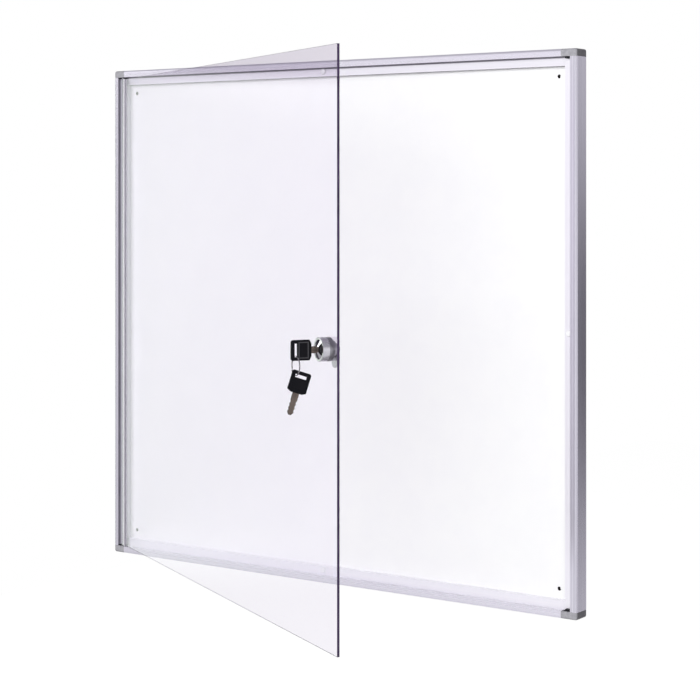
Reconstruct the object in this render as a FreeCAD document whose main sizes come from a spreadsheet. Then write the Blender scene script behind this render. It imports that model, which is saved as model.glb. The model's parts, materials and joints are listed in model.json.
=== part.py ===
import FreeCAD, Part
import math
import os
import Sketcher
from FreeCAD import Placement, Rotation, Vector

# Lockable notice board: a shallow aluminium case with a magnetic board in it, a clear
# hinged door, a cam lock near the door's free edge, and two keys on a split ring.
# Millimetres. The origin is the middle of the four screw holes, in the plane of the board's
# back; +X is the lock side, +Y goes into the wall, +Z is up. The door stands ajar.

SIZES = {
    # Case and its extruded profile
    "case_width": 752.0,
    "case_height": 692.0,
    "case_depth": 24.0,
    "profile_wall": 1.3,
    "lip_width": 9.4,
    "hinge_lip_width": 7.6,
    "edge_round": 3.0,
    "ledge_setback": 7.8,
    "ledge_reach": 20.6,
    "flange_reach": 26.0,
    # Corner caps
    "cap_length_lock": 22.0,
    "cap_length_hinge": 18.0,
    "cap_leg": 24.0,
    "cap_fit": 0.15,
    "nub_inset": 11.5,
    "nub_width": 6.0,
    "nub_length": 2.5,
    "nub_gap": 2.0,
    # Board
    "board_setback": 15.5,
    "board_fit": 0.6,
    "face_sheet": 0.5,
    "back_sheet": 0.4,
    "hole_inset": 32.5,
    "hole_diameter": 5.0,
    # Door and its hinge
    "door_thickness": 3.0,
    "door_margin": 12.5,
    "door_open_degrees": 29.0,
    "hinge_inset": 11.2,
    "hinge_setback": 4.3,
    "hinge_rail_gap": 2.5,
    "bead_diameter": 4.4,
    "bead_fit": 0.08,
    "socket_wall": 1.5,
    "socket_mouth_from_degrees": -22.0,
    "socket_mouth_to_degrees": 118.0,
    "neck_thickness": 1.4,
    "channel_start": 4.2,
    "channel_base": 1.2,
    "channel_length": 13.0,
    "channel_wall": 1.1,
    "channel_fit": 0.05,
    # Door buffers
    "buffer_diameter": 8.0,
    "buffer_gap": 0.1,
    "buffer_round": 1.3,
    "buffer_offset": -6.5,
    "buffer_inset_top": 14.0,
    "buffer_inset_bottom": 16.0,
    "buffer_inset_lock": 15.0,
    # Cam lock
    "lock_inset": 18.2,
    "lock_level": 0.0,
    "head_diameter": 26.5,
    "head_length": 8.4,
    "head_round": 0.8,
    "collar_length": 5.6,
    "barrel_diameter": 16.0,
    "barrel_fit": 0.1,
    "barrel_tail": 1.0,
    "plug_diameter": 11.2,
    "plug_fit": 0.05,
    "plug_face_diameter": 21.5,
    "plug_face_thickness": 1.2,
    "plug_face_recess": 0.4,
    "nut_diameter": 19.0,
    "nut_thickness": 3.0,
    "nut_slot_width": 3.0,
    "nut_slot_depth": 1.2,
    "cam_thickness": 1.6,
    "cam_width": 13.5,
    "cam_reach": 20.8,
    "cam_square": 5.4,
    "cam_square_fit": 0.1,
    "cam_slot_gap": 0.9,
    "screw_diameter": 3.0,
    "screw_head_diameter": 7.0,
    "screw_head_height": 2.0,
    "screw_length": 6.0,
    "screw_fit": 0.1,
    "screw_drive_width": 1.0,
    "screw_drive_length": 4.2,
    "screw_drive_depth": 0.9,
    # Wafers and their springs
    "wafer_first": 3.0,
    "wafer_pitch": 2.5,
    "wafer_thickness": 0.9,
    "wafer_width": 4.4,
    "wafer_height": 10.0,
    "wafer_gap": 0.1,
    "wafer_tab_reach": 3.8,
    "wafer_tab_height": 0.8,
    "wafer_spring_diameter": 0.8,
    "wafer_spring_length": 3.2,
    # Keys and their ring
    "key_standoff": 8.8,
    "bow_length": 24.0,
    "bow_width": 22.5,
    "bow_thickness": 2.8,
    "bow_round": 2.5,
    "bow_chamfer": 4.5,
    "bow_frame": 0.4,
    "bow_frame_width": 1.2,
    "bow_frame_inset": 2.2,
    "bow_frame_start": 8.5,
    "key_slot_from_end": 4.0,
    "key_slot_width": 3.5,
    "key_slot_length": 14.8,
    "key_tang": 12.0,
    "key_fit": 0.15,
    "blade_length": 24.5,
    "blade_width": 7.6,
    "blade_thickness": 1.9,
    "blade_cut": 0.9,
    "blade_cut_pitch": 4.4,
    "blade_shoulder": 8.0,
    "blade_tip_width": 2.6,
    "ring_diameter": 22.0,
    "ring_wire": 1.4,
    "ring_gap": 0.3,
    "ring_split_degrees": 4.0,
    "key_two_tilt_degrees": 18.65,
}
WAFER_COUNT = 5
BLADE_CUTS = 3
# A cut's floor starts and ends at these shares of the pitch
CUT_FLOOR = (0.35, 0.65)

# How near two lengths and two directions must be to count as the same
NEAR_MM = 0.01
NEAR_DEGREES = 2.5
X_AXIS = Vector(1, 0, 0)
Z_AXIS = Vector(0, 0, 1)
# Where a sketch's outlines and circles start, before their sizes drive them into place
START_RADIUS = 40.0
TUBE_START_RADII = (60.0, 25.0)
START_PLACE = Vector(30.0, 30.0, 0)
START_CIRCLE = 2.0

doc = FreeCAD.newDocument("LockableNoticeBoard")
sheet = doc.addObject("Spreadsheet::Sheet", "Sizes")
for row, (alias, value) in enumerate(SIZES.items(), start=1):
    sheet.set(f"A{row}", alias.replace("_", " "))
    sheet.set(f"B{row}", str(value))
    sheet.setAlias(f"B{row}", alias)
doc.recompute()


def mm(alias):
    """A size, as a number, read from the sheet."""
    return float(sheet.get(alias))


def s(alias):
    """A size, as it is named in an expression."""
    return f"Sizes.{alias}"


# Places that several pieces share, as expressions. A setback is measured from the case's
# front, and the board's back lies at y = 0.
BACK = f"({s('case_depth')} - {s('profile_wall')})"
HALF_WIDTH = f"{s('case_width')} / 2"
HALF_HEIGHT = f"{s('case_height')} / 2"
STILE_HALF = f"({HALF_HEIGHT} - {s('lip_width')})"
BOARD_EDGE = f"({s('lip_width')} + {s('board_fit')})"
DOOR_REACH = f"({s('case_width')} - {s('hinge_inset')} - {s('door_margin')})"
DOOR_HALF = f"({HALF_HEIGHT} - {s('door_margin')})"
DOOR_BACK = f"({s('hinge_setback')} + {s('door_thickness')} / 2)"
HEAD_FRONT = f"({s('head_length')} + {s('collar_length')})"
PLUG_FRONT = f"({HEAD_FRONT} - {s('plug_face_recess')})"
BARREL_END = f"({s('door_thickness')} + {s('nut_thickness')} + {s('barrel_tail')})"
CAM_DEPTH = f"({DOOR_BACK} + {s('nut_thickness')} + {s('barrel_tail')} + {s('cam_thickness')} / 2)"


def new_body(label):
    """A body whose label is its node's name."""
    body = doc.addObject("PartDesign::Body", label)
    body.Label = label
    return body


def origin_plane(body, role):
    """One of a body's own base planes."""
    for feature in body.Origin.OriginFeatures:
        if feature.Role == role:
            return feature
    raise ValueError(f"no plane {role}")


def new_sketch(body, name, role):
    """An empty sketch on a body's base plane."""
    sketch = body.newObject("Sketcher::SketchObject", f"{body.Name}_{name}")
    sketch.AttachmentSupport = [(origin_plane(body, role), "")]
    sketch.MapMode = "FlatFace"
    return sketch


def add_outline(sketch, corners, start_radius=START_RADIUS):
    """A closed outline of straight lines, each corner tied to two expressions.

    The lines start as a regular polygon and are driven to their places.
    """
    count = len(corners)
    turn = 2.0 * math.pi / count
    places = [Vector(start_radius * math.cos(turn * i), start_radius * math.sin(turn * i), 0)
              for i in range(count)]
    first = sketch.GeometryCount
    for i in range(count):
        sketch.addGeometry(Part.LineSegment(places[i], places[(i + 1) % count]))
    for i in range(count):
        after = first + (i + 1) % count
        sketch.addConstraint(Sketcher.Constraint("Coincident", first + i, 2, after, 1))
    for i, (across, up) in enumerate(corners):
        bind_point(sketch, first + i, 1, places[i], across, up)


def bind_point(sketch, geometry, point, place, across, up):
    """Ties one point of a sketch to two expressions, from the sketch's origin."""
    x_row = sketch.addConstraint(Sketcher.Constraint("DistanceX", -1, 1, geometry, point, place.x))
    y_row = sketch.addConstraint(Sketcher.Constraint("DistanceY", -1, 1, geometry, point, place.y))
    sketch.setExpression(f"Constraints[{x_row}]", across)
    sketch.setExpression(f"Constraints[{y_row}]", up)


def add_circle(sketch, across, up, diameter):
    """A circle tied to its centre and diameter."""
    circle = sketch.addGeometry(Part.Circle(START_PLACE, Z_AXIS, START_CIRCLE))
    bind_point(sketch, circle, 3, START_PLACE, across, up)
    size_row = sketch.addConstraint(Sketcher.Constraint("Diameter", circle, 2 * START_CIRCLE))
    sketch.setExpression(f"Constraints[{size_row}]", diameter)


def pad_both_ways(body, sketch, forward, backward):
    """A pad with its own length on each side of the sketch."""
    pad = body.newObject("PartDesign::Pad", f"{sketch.Name}_pad")
    pad.Profile = sketch
    pad.SideType = "Two sides"
    pad.setExpression("Length", forward)
    pad.setExpression("Length2", backward)
    return pad


def pad_middle(body, sketch, length):
    """A pad as long on one side of the sketch as on the other."""
    pad = body.newObject("PartDesign::Pad", f"{sketch.Name}_pad")
    pad.Profile = sketch
    pad.SideType = "Symmetric"
    pad.setExpression("Length", length)
    return pad


def turn_outline(body, name, corners):
    """A piece turned about the body's Y axis, from corners of (radius, y)."""
    sketch = new_sketch(body, name, "XY_Plane")
    add_outline(sketch, corners)
    turned = body.newObject("PartDesign::Revolution", f"{sketch.Name}_turned")
    turned.Profile = sketch
    turned.ReferenceAxis = (sketch, ["V_Axis"])
    turned.Angle = 360.0
    return turned


def add_block(body, name, low, extent, cut=False):
    """A block from its lowest corner and its three lengths, all expressions."""
    kind = "PartDesign::SubtractiveBox" if cut else "PartDesign::AdditiveBox"
    block = body.newObject(kind, f"{body.Name}_{name}")
    block.AttachmentSupport = [(origin_plane(body, "XY_Plane"), "")]
    block.MapMode = "FlatFace"
    for axis, place in zip("xyz", low):
        block.setExpression(f"AttachmentOffset.Base.{axis}", place)
    for side, length in zip(("Length", "Width", "Height"), extent):
        block.setExpression(side, length)
    return block


def add_round(body, name, role, centre, diameter, height, cut=False, turn=0.0, sweep="360"):
    """A round bar standing on a base plane, whole or a slice of sweep degrees."""
    kind = "PartDesign::SubtractiveCylinder" if cut else "PartDesign::AdditiveCylinder"
    bar = body.newObject(kind, f"{body.Name}_{name}")
    bar.AttachmentSupport = [(origin_plane(body, role), "")]
    bar.MapMode = "FlatFace"
    bar.AttachmentOffset = Placement(Vector(), Rotation(Z_AXIS, turn))
    for axis, place in zip("xyz", centre):
        bar.setExpression(f"AttachmentOffset.Base.{axis}", place)
    bar.setExpression("Radius", f"({diameter}) / 2")
    bar.setExpression("Height", height)
    bar.setExpression("Angle", sweep)
    return bar


def cut_counts(body, make_cut):
    """Makes a cut and checks that it took material away."""
    doc.recompute()
    before = body.Shape.Volume
    make_cut()
    doc.recompute()
    if not body.Shape.Volume < before:
        raise RuntimeError(f"a cut in {body.Label} took nothing away")


def round_edges(body, name, radius, wanted, kind="Fillet"):
    """Rounds or chamfers the edges of the body's tip that a test picks."""
    doc.recompute()
    base = body.Tip
    names = [f"Edge{i}" for i, edge in enumerate(base.Shape.Edges, start=1) if wanted(edge)]
    if not names:
        raise RuntimeError(f"no edge to round on {body.Label}")
    feature = body.newObject(f"PartDesign::{kind}", f"{body.Name}_{name}")
    feature.Base = (base, names)
    feature.setExpression("Radius" if kind == "Fillet" else "Size", radius)
    return feature


def runs_along(edge, direction):
    """True where a straight edge runs along a direction."""
    if edge.Curve.TypeId != "Part::GeomLine":
        return False
    apart = math.degrees(edge.tangentAt(edge.FirstParameter).getAngle(direction))
    return min(apart, 180 - apart) < NEAR_DEGREES


def passes(edge, near=None, side=None, up=None):
    """True where an edge's middle lies at the stated x, y or z."""
    middle = edge.valueAt((edge.FirstParameter + edge.LastParameter) / 2)
    wanted = ((middle.x, side), (middle.y, near), (middle.z, up))
    return all(want is None or abs(have - want) < NEAR_MM for have, want in wanted)


def is_rim(radius, level):
    """A test that picks the round edge of a radius at a y level."""
    def test(edge):
        """True for that edge."""
        if edge.Curve.TypeId != "Part::GeomCircle":
            return False
        box = edge.BoundBox
        gaps = (edge.Curve.Radius - radius, box.YMax - level, box.YMin - level)
        return all(abs(gap) < NEAR_MM for gap in gaps)
    return test


# Frame: two rails and two stiles of the same extruded profile. A place in the profile is
# given by its inset from the outer edge and its setback from the front.

def tube_outline(lip):
    """Outer and inner outlines of the hollow lip."""
    wall = s("profile_wall")
    deep = s("case_depth")
    outer = [("0", "0"), (lip, "0"), (lip, deep), ("0", deep)]
    inner = [(wall, wall), (f"{lip} - {wall}", wall),
             (f"{lip} - {wall}", f"{deep} - {wall}"), (wall, f"{deep} - {wall}")]
    return outer, inner


def ledge_outline(lip):
    """The ledge that the door closes over, and the wall that it turns down to the board."""
    wall = s("profile_wall")
    top = s("ledge_setback")
    reach = s("ledge_reach")
    board = s("board_setback")
    return [(lip, top), (reach, top), (reach, board), (f"{reach} - {wall}", board),
            (f"{reach} - {wall}", f"{top} + {wall}"), (lip, f"{top} + {wall}")]


def flange_outline(lip):
    """The flange behind the board."""
    deep = s("case_depth")
    behind = f"{deep} - {s('profile_wall')}"
    return [(lip, behind), (s("flange_reach"), behind), (s("flange_reach"), deep), (lip, deep)]


CASE_FRONT = mm("profile_wall") - mm("case_depth")


def place_in(points, edge, sign):
    """Turns (inset, setback) pairs into a rail's (y, z) or a stile's (x, y)."""
    if edge == "rail":
        return [(f"{setback} - {BACK}", f"{sign} * ({HALF_HEIGHT} - ({inset}))")
                for inset, setback in points]
    return [(f"{sign} * ({HALF_WIDTH} - ({inset}))", f"{setback} - {BACK}")
            for inset, setback in points]


def make_profile(body, edge, sign, lip, ends):
    """The three strips of a rail or stile, each with its own ends."""
    role = "YZ_Plane" if edge == "rail" else "XY_Plane"
    strips = (("tube", tube_outline(lip)), ("ledge", (ledge_outline(lip),)),
              ("flange", (flange_outline(lip),)))
    for name, outlines in strips:
        sketch = new_sketch(body, name, role)
        for start_radius, outline in zip(TUBE_START_RADII, outlines):
            add_outline(sketch, place_in(outline, edge, sign), start_radius)
        forward, backward = ends[name]
        pad_both_ways(body, sketch, forward, backward)


def make_rail(label, sign):
    """A horizontal rail: its lip stops at the caps, its ledge at the stiles' ledges."""
    body = new_body(label)
    ends = {
        "tube": (f"{HALF_WIDTH} - {s('cap_length_lock')}",
                 f"{HALF_WIDTH} - {s('cap_length_hinge')}"),
        "ledge": (f"{HALF_WIDTH} - {s('ledge_reach')}", f"{HALF_WIDTH} - {s('ledge_reach')}"),
        "flange": (f"{HALF_WIDTH} - {s('flange_reach')}", f"{HALF_WIDTH} - {s('flange_reach')}"),
    }
    make_profile(body, "rail", sign, s("lip_width"), ends)
    outer = sign * mm("case_height") / 2
    round_edges(body, "round", s("edge_round"),
                lambda edge: runs_along(edge, X_AXIS) and passes(edge, near=CASE_FRONT, up=outer))
    return body


def make_stile(label, sign, lip):
    """An upright between two caps."""
    body = new_body(label)
    ends = {name: (STILE_HALF, STILE_HALF) for name in ("tube", "ledge", "flange")}
    make_profile(body, "stile", sign, lip, ends)
    outer = sign * mm("case_width") / 2
    round_edges(body, "round", s("edge_round"),
                lambda edge: runs_along(edge, Z_AXIS) and passes(edge, near=CASE_FRONT, side=outer))
    return body


def cut_cam_slot(body):
    """The slot in the lock stile's inner wall that the cam turns into."""
    gap = s("cam_slot_gap")
    wall = s("profile_wall")
    low = (f"{HALF_WIDTH} - {s('ledge_reach')} - {wall}",
           f"{CAM_DEPTH} - {s('cam_thickness')} / 2 - {gap} - {BACK}",
           f"{s('lock_level')} - {s('cam_reach')} - {gap}")
    extent = (f"3 * {wall}", f"{s('cam_thickness')} + 2 * {gap}",
              f"{s('cam_reach')} + {s('cam_width')} / 2 + 2 * {gap}")
    cut_counts(body, lambda: add_block(body, "cam_slot", low, extent, cut=True))


def add_hinge_socket(body):
    """The open socket along the hinge stile that the door's bead turns in."""
    centre = (f"{s('hinge_inset')} - {HALF_WIDTH}", f"{s('hinge_setback')} - {BACK}",
              f"-{STILE_HALF}")
    bore = f"({s('bead_diameter')} + 2 * {s('bead_fit')})"
    outside = f"({bore} + 2 * {s('socket_wall')})"
    mouth = f"({s('socket_mouth_to_degrees')} - ({s('socket_mouth_from_degrees')}))"
    turn = -mm("socket_mouth_from_degrees")
    add_round(body, "socket", "XY_Plane", centre, outside, f"2 * {STILE_HALF}",
              turn=turn, sweep=f"360 - {mouth}")
    cut_counts(body, lambda: add_round(body, "socket_bore", "XY_Plane", centre, bore,
                                       f"2 * {STILE_HALF}", cut=True))


def stretch(sign, half, near, far):
    """Lowest coordinate of a stretch that lies near to far inside an outer edge."""
    return f"{half} - ({far})" if sign > 0 else f"({near}) - {half}"


def make_cap(label, side, up):
    """A corner cap: a rounded block with a leg in the rail and a leg in the stile."""
    body = new_body(label)
    length = s("cap_length_lock") if side > 0 else s("cap_length_hinge")
    rail_lip = s("lip_width")
    stile_lip = s("lip_width") if side > 0 else s("hinge_lip_width")
    inset = f"({s('profile_wall')} + {s('cap_fit')})"
    leg = s("cap_leg")
    add_block(body, "block",
              (stretch(side, HALF_WIDTH, "0", length), f"-{BACK}",
               stretch(up, HALF_HEIGHT, "0", rail_lip)),
              (length, s("case_depth"), rail_lip))
    edge_x = side * mm("case_width") / 2
    edge_z = up * mm("case_height") / 2

    def is_outer(edge):
        """The outer corner and the two outer front edges."""
        return (passes(edge, side=edge_x, up=edge_z)
                or passes(edge, near=CASE_FRONT, side=edge_x)
                or passes(edge, near=CASE_FRONT, up=edge_z))

    round_edges(body, "round", s("edge_round"), is_outer)
    front = f"{inset} - {BACK}"
    thick = f"{s('case_depth')} - 2 * {inset}"
    add_block(body, "rail_leg",
              (stretch(side, HALF_WIDTH, length, f"{length} + {leg}"), front,
               stretch(up, HALF_HEIGHT, inset, f"{rail_lip} - {inset}")),
              (leg, thick, f"{rail_lip} - 2 * {inset}"))
    add_block(body, "stile_leg",
              (stretch(side, HALF_WIDTH, inset, f"{stile_lip} - {inset}"), front,
               stretch(up, HALF_HEIGHT, rail_lip, f"{rail_lip} + {leg}")),
              (f"{stile_lip} - 2 * {inset}", thick, leg))
    if side > 0:
        near = s("nub_inset")
        add_block(body, "nub",
                  (stretch(side, HALF_WIDTH, near, f"{near} + {s('nub_width')}"),
                   f"{s('nub_gap')} - {BACK}",
                   stretch(up, HALF_HEIGHT, rail_lip, f"{rail_lip} + {s('nub_length')}")),
                  (s("nub_width"), f"{s('ledge_setback')} - {s('nub_gap')}", s("nub_length")))
    return body


top_rail = make_rail("top_rail", 1)
bottom_rail = make_rail("bottom_rail", -1)
lock_stile = make_stile("lock_stile", 1, s("lip_width"))
cut_cam_slot(lock_stile)
hinge_stile = make_stile("hinge_stile", -1, s("hinge_lip_width"))
add_hinge_socket(hinge_stile)
caps = [make_cap("corner_cap_top_hinge", -1, 1), make_cap("corner_cap_top_lock", 1, 1),
        make_cap("corner_cap_bottom_hinge", -1, -1), make_cap("corner_cap_bottom_lock", 1, -1)]


# Board: a lacquered steel face, a core and a back sheet, with a screw hole near each corner

def make_board_layer(label, front, thickness):
    """One layer of the board, its front given as a setback from the case's front."""
    body = new_body(label)
    half_x = f"({HALF_WIDTH} - {BOARD_EDGE})"
    half_z = f"({HALF_HEIGHT} - {BOARD_EDGE})"
    add_block(body, "sheet", (f"-{half_x}", f"{front} - {BACK}", f"-{half_z}"),
              (f"2 * {half_x}", thickness, f"2 * {half_z}"))
    sketch = new_sketch(body, "holes", "XZ_Plane")
    for across in (-1, 1):
        for up in (-1, 1):
            add_circle(sketch, f"{across} * ({HALF_WIDTH} - {s('hole_inset')})",
                       f"{up} * ({HALF_HEIGHT} - {s('hole_inset')})", s("hole_diameter"))

    def drill():
        """Holes right through the layer."""
        pocket = body.newObject("PartDesign::Pocket", f"{body.Name}_drilled")
        pocket.Profile = sketch
        pocket.Type = "ThroughAll"
        pocket.SideType = "Symmetric"

    cut_counts(body, drill)
    return body


CORE_FRONT = f"({s('board_setback')} + {s('face_sheet')})"
BACK_FRONT = f"({BACK} - {s('back_sheet')})"
board_face = make_board_layer("board_face_sheet", s("board_setback"), s("face_sheet"))
board_core = make_board_layer("board_core", CORE_FRONT, f"{BACK_FRONT} - {CORE_FRONT}")
board_back = make_board_layer("board_back_sheet", BACK_FRONT, s("back_sheet"))


# Buffers: clear domes on the ledge that the door closes onto

def make_buffer(label, across, up):
    """A dome on the ledge, pointing out of the case."""
    body = new_body(label)
    radius = f"{s('buffer_diameter')} / 2"
    height = f"({s('ledge_setback')} - {DOOR_BACK} - {s('buffer_gap')})"
    turn_outline(body, "dome", [("0", "0"), ("0", f"-{height}"), (radius, f"-{height}"),
                                (radius, "0")])
    door_back = mm("hinge_setback") + mm("door_thickness") / 2
    tip = door_back + mm("buffer_gap") - mm("ledge_setback")
    round_edges(body, "round", s("buffer_round"), is_rim(mm("buffer_diameter") / 2, tip))
    body.setExpression("Placement.Base.x", across)
    body.setExpression("Placement.Base.y", f"{s('ledge_setback')} - {BACK}")
    body.setExpression("Placement.Base.z", up)
    return body


buffers = [
    make_buffer("buffer_top", s("buffer_offset"), f"{HALF_HEIGHT} - {s('buffer_inset_top')}"),
    make_buffer("buffer_bottom", s("buffer_offset"), f"{s('buffer_inset_bottom')} - {HALF_HEIGHT}"),
    make_buffer("buffer_lock_side", f"{HALF_WIDTH} - {s('buffer_inset_lock')}", "0 * 1 mm"),
]


# Door: modelled shut about its hinge axis, which is the body's own Z axis, then swung open

DOOR_PLACE = Placement(
    Vector(mm("hinge_inset") - mm("case_width") / 2, mm("hinge_setback") + CASE_FRONT, 0),
    Rotation(Z_AXIS, -mm("door_open_degrees")))


def make_hinge_profile():
    """The door's hinge rail: a bead, a neck and a channel that grips the clear sheet."""
    body = new_body("door_hinge_rail")
    start = s("channel_start")
    base = f"{start} + {s('channel_base')}"
    end = f"{start} + {s('channel_length')}"
    neck = f"{s('neck_thickness')} / 2"
    root = f"{s('bead_diameter')} / 4"
    inner = f"({s('door_thickness')} / 2 + {s('channel_fit')})"
    outer = f"({s('door_thickness')} / 2 + {s('channel_wall')})"
    sketch = new_sketch(body, "section", "XY_Plane")
    add_outline(sketch, [(root, f"-{neck}"), (start, f"-{neck}"), (start, f"-{outer}"),
                         (end, f"-{outer}"), (end, f"-{inner}"), (base, f"-{inner}"),
                         (base, inner), (end, inner), (end, outer), (start, outer),
                         (start, neck), (root, neck)])
    half = f"({STILE_HALF} - {s('hinge_rail_gap')})"
    pad_middle(body, sketch, f"2 * {half}")
    add_round(body, "bead", "XY_Plane", ("0 * 1 mm", "0 * 1 mm", f"-{half}"),
              s("bead_diameter"), f"2 * {half}")
    body.Placement = DOOR_PLACE
    return body


def make_door_panel():
    """The clear sheet, with the hole that the lock's barrel passes through."""
    body = new_body("door_panel")
    near = f"({s('channel_start')} + {s('channel_base')} + {s('channel_fit')})"
    half_thick = f"{s('door_thickness')} / 2"
    add_block(body, "sheet", (near, f"-{half_thick}", f"-{DOOR_HALF}"),
              (f"{DOOR_REACH} - {near}", s("door_thickness"), f"2 * {DOOR_HALF}"))
    hole = f"{s('barrel_diameter')} + 2 * {s('barrel_fit')}"
    centre = (f"{DOOR_REACH} - {s('lock_inset')}", s("lock_level"), f"-{s('door_thickness')}")
    cut_counts(body, lambda: add_round(body, "lock_hole", "XZ_Plane", centre, hole,
                                       f"2 * {s('door_thickness')}", cut=True))
    body.Placement = DOOR_PLACE
    return body


hinge_rail = make_hinge_profile()
door_panel = make_door_panel()


# Cam lock: turned about its own Y axis, with y = 0 on the door's front face. The head is
# at negative y, outside the door, and the cam is at positive y, inside it.

REACH = mm("case_width") - mm("hinge_inset") - mm("door_margin")
LOCK_PLACE = DOOR_PLACE * Placement(
    Vector(REACH - mm("lock_inset"), -mm("door_thickness") / 2, mm("lock_level")), Rotation())
PLUG_BORE = f"({s('plug_diameter')} / 2 + {s('plug_fit')})"
FACE_BORE = f"({s('plug_face_diameter')} / 2 + {s('barrel_fit')})"
FACE_SEAT = f"({PLUG_FRONT} - {s('plug_face_thickness')})"
BARREL_BORE = f"({s('barrel_diameter')} / 2 + {s('barrel_fit')} / 2)"
HEAD_RADIUS = f"{s('head_diameter')} / 2"


def make_lock_housing():
    """The lock's head and barrel in one, bored for the plug."""
    body = new_body("lock_housing")
    barrel = f"{s('barrel_diameter')} / 2"
    turn_outline(body, "outline", [
        (FACE_BORE, f"-{HEAD_FRONT}"), (HEAD_RADIUS, f"-{HEAD_FRONT}"),
        (HEAD_RADIUS, f"-{s('collar_length')}"), (barrel, f"-{s('collar_length')}"),
        (barrel, BARREL_END), (PLUG_BORE, BARREL_END), (PLUG_BORE, f"-{FACE_SEAT}"),
        (FACE_BORE, f"-{FACE_SEAT}")])
    front = -(mm("head_length") + mm("collar_length"))
    round_edges(body, "rim", s("head_round"), is_rim(mm("head_diameter") / 2, front))
    body.Placement = LOCK_PLACE
    return body


def make_ring_piece(label, inner, outer, low, high):
    """A plain ring about the lock's axis."""
    body = new_body(label)
    turn_outline(body, "outline", [(inner, low), (outer, low), (outer, high), (inner, high)])
    body.Placement = LOCK_PLACE
    return body


def make_lock_collar():
    """The spacer between the head and the door."""
    body = make_ring_piece("lock_collar", BARREL_BORE, HEAD_RADIUS,
                           f"-{s('collar_length')}", "0 * 1 mm")
    radius = mm("head_diameter") / 2
    round_edges(body, "front_edge", f"{s('head_round')} / 2",
                is_rim(radius, -mm("collar_length")), "Chamfer")
    return body


def make_lock_nut():
    """The round nut behind the door, with two spanner slots."""
    back = f"({s('door_thickness')} + {s('nut_thickness')})"
    radius = f"{s('nut_diameter')} / 2"
    body = make_ring_piece("lock_nut", BARREL_BORE, radius, s("door_thickness"), back)
    for side in (-1, 1):
        edge = f"{side} * {radius} - {s('nut_slot_depth')}"
        low = (edge, s("door_thickness"), f"-{s('nut_slot_width')} / 2")
        extent = (f"2 * {s('nut_slot_depth')}", s("nut_thickness"), s("nut_slot_width"))
        cut_counts(body, lambda: add_block(body, f"slot_{side + 2}", low, extent, cut=True))
    return body


def wafer_front(index):
    """Setback of a wafer's front from the plug's face, as a y expression."""
    return f"({s('wafer_first')} + {index} * {s('wafer_pitch')} - {PLUG_FRONT})"


def make_lock_plug():
    """The turning plug: face disc, body, square tip, keyway, wafer slots and screw hole."""
    body = new_body("lock_plug")
    radius = f"{s('plug_diameter')} / 2"
    face = f"{s('plug_face_diameter')} / 2"
    turn_outline(body, "outline", [
        ("0", f"-{PLUG_FRONT}"), (face, f"-{PLUG_FRONT}"), (face, f"-{FACE_SEAT}"),
        (radius, f"-{FACE_SEAT}"), (radius, BARREL_END), ("0", BARREL_END)])
    square = s("cam_square")
    add_block(body, "tip", (f"-{square} / 2", BARREL_END, f"-{square} / 2"),
              (square, s("cam_thickness"), square))
    way = f"({s('blade_thickness')} + 2 * {s('key_fit')})"
    tall = f"({s('blade_width')} + 2 * {s('key_fit')})"
    deep = f"({s('blade_length')} - {s('key_standoff')} + 2 * {s('key_fit')})"
    cut_counts(body, lambda: add_block(
        body, "keyway", (f"-{way} / 2", f"-{PLUG_FRONT}", f"-{tall} / 2"),
        (way, deep, tall), cut=True))
    gap = s("wafer_gap")
    for index in range(WAFER_COUNT):
        front = f"{wafer_front(index)} - {gap}"
        thick = f"{s('wafer_thickness')} + 2 * {gap}"
        wide = f"({s('wafer_width')} / 2 + {gap})"
        cut_counts(body, lambda: add_block(
            body, f"wafer_slot_{index}", (f"-{wide}", front, f"-{radius}"),
            (f"2 * {wide}", thick, f"2 * {radius}"), cut=True))
        cut_counts(body, lambda: add_block(
            body, f"spring_pocket_{index}",
            (wide, front, f"-{s('wafer_spring_length')} / 2 - {gap}"),
            (f"{s('wafer_tab_reach')} + {gap} - {wide}", thick,
             f"{s('wafer_spring_length')} + {s('wafer_tab_height')} + 4 * {gap}"), cut=True))
    depth = f"({s('screw_length')} + {gap})"
    centre = ("0 * 1 mm", "0 * 1 mm", f"-{BARREL_END} - {s('cam_thickness')}")
    cut_counts(body, lambda: add_round(body, "screw_hole", "XZ_Plane", centre,
                                       f"{s('screw_diameter')} + 2 * {s('screw_fit')}",
                                       depth, cut=True))
    body.Placement = LOCK_PLACE
    return body


def make_cam():
    """The cam: a round-ended plate with a square hole, hanging straight down."""
    body = new_body("lock_cam")
    width = s("cam_width")
    drop = f"({s('cam_reach')} - {width} / 2)"
    behind = f"-{BARREL_END} - {s('cam_thickness')}"
    add_round(body, "hub", "XZ_Plane", ("0 * 1 mm", "0 * 1 mm", behind), width,
              s("cam_thickness"))
    add_round(body, "end", "XZ_Plane", ("0 * 1 mm", f"-{drop}", behind), width,
              s("cam_thickness"))
    add_block(body, "web", (f"-{width} / 2", BARREL_END, f"-{drop}"),
              (width, s("cam_thickness"), drop))
    hole = f"({s('cam_square')} + 2 * {s('cam_square_fit')})"
    cut_counts(body, lambda: add_block(body, "square", (f"-{hole} / 2", BARREL_END, f"-{hole} / 2"),
                                       (hole, s("cam_thickness"), hole), cut=True))
    body.Placement = LOCK_PLACE
    return body


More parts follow.
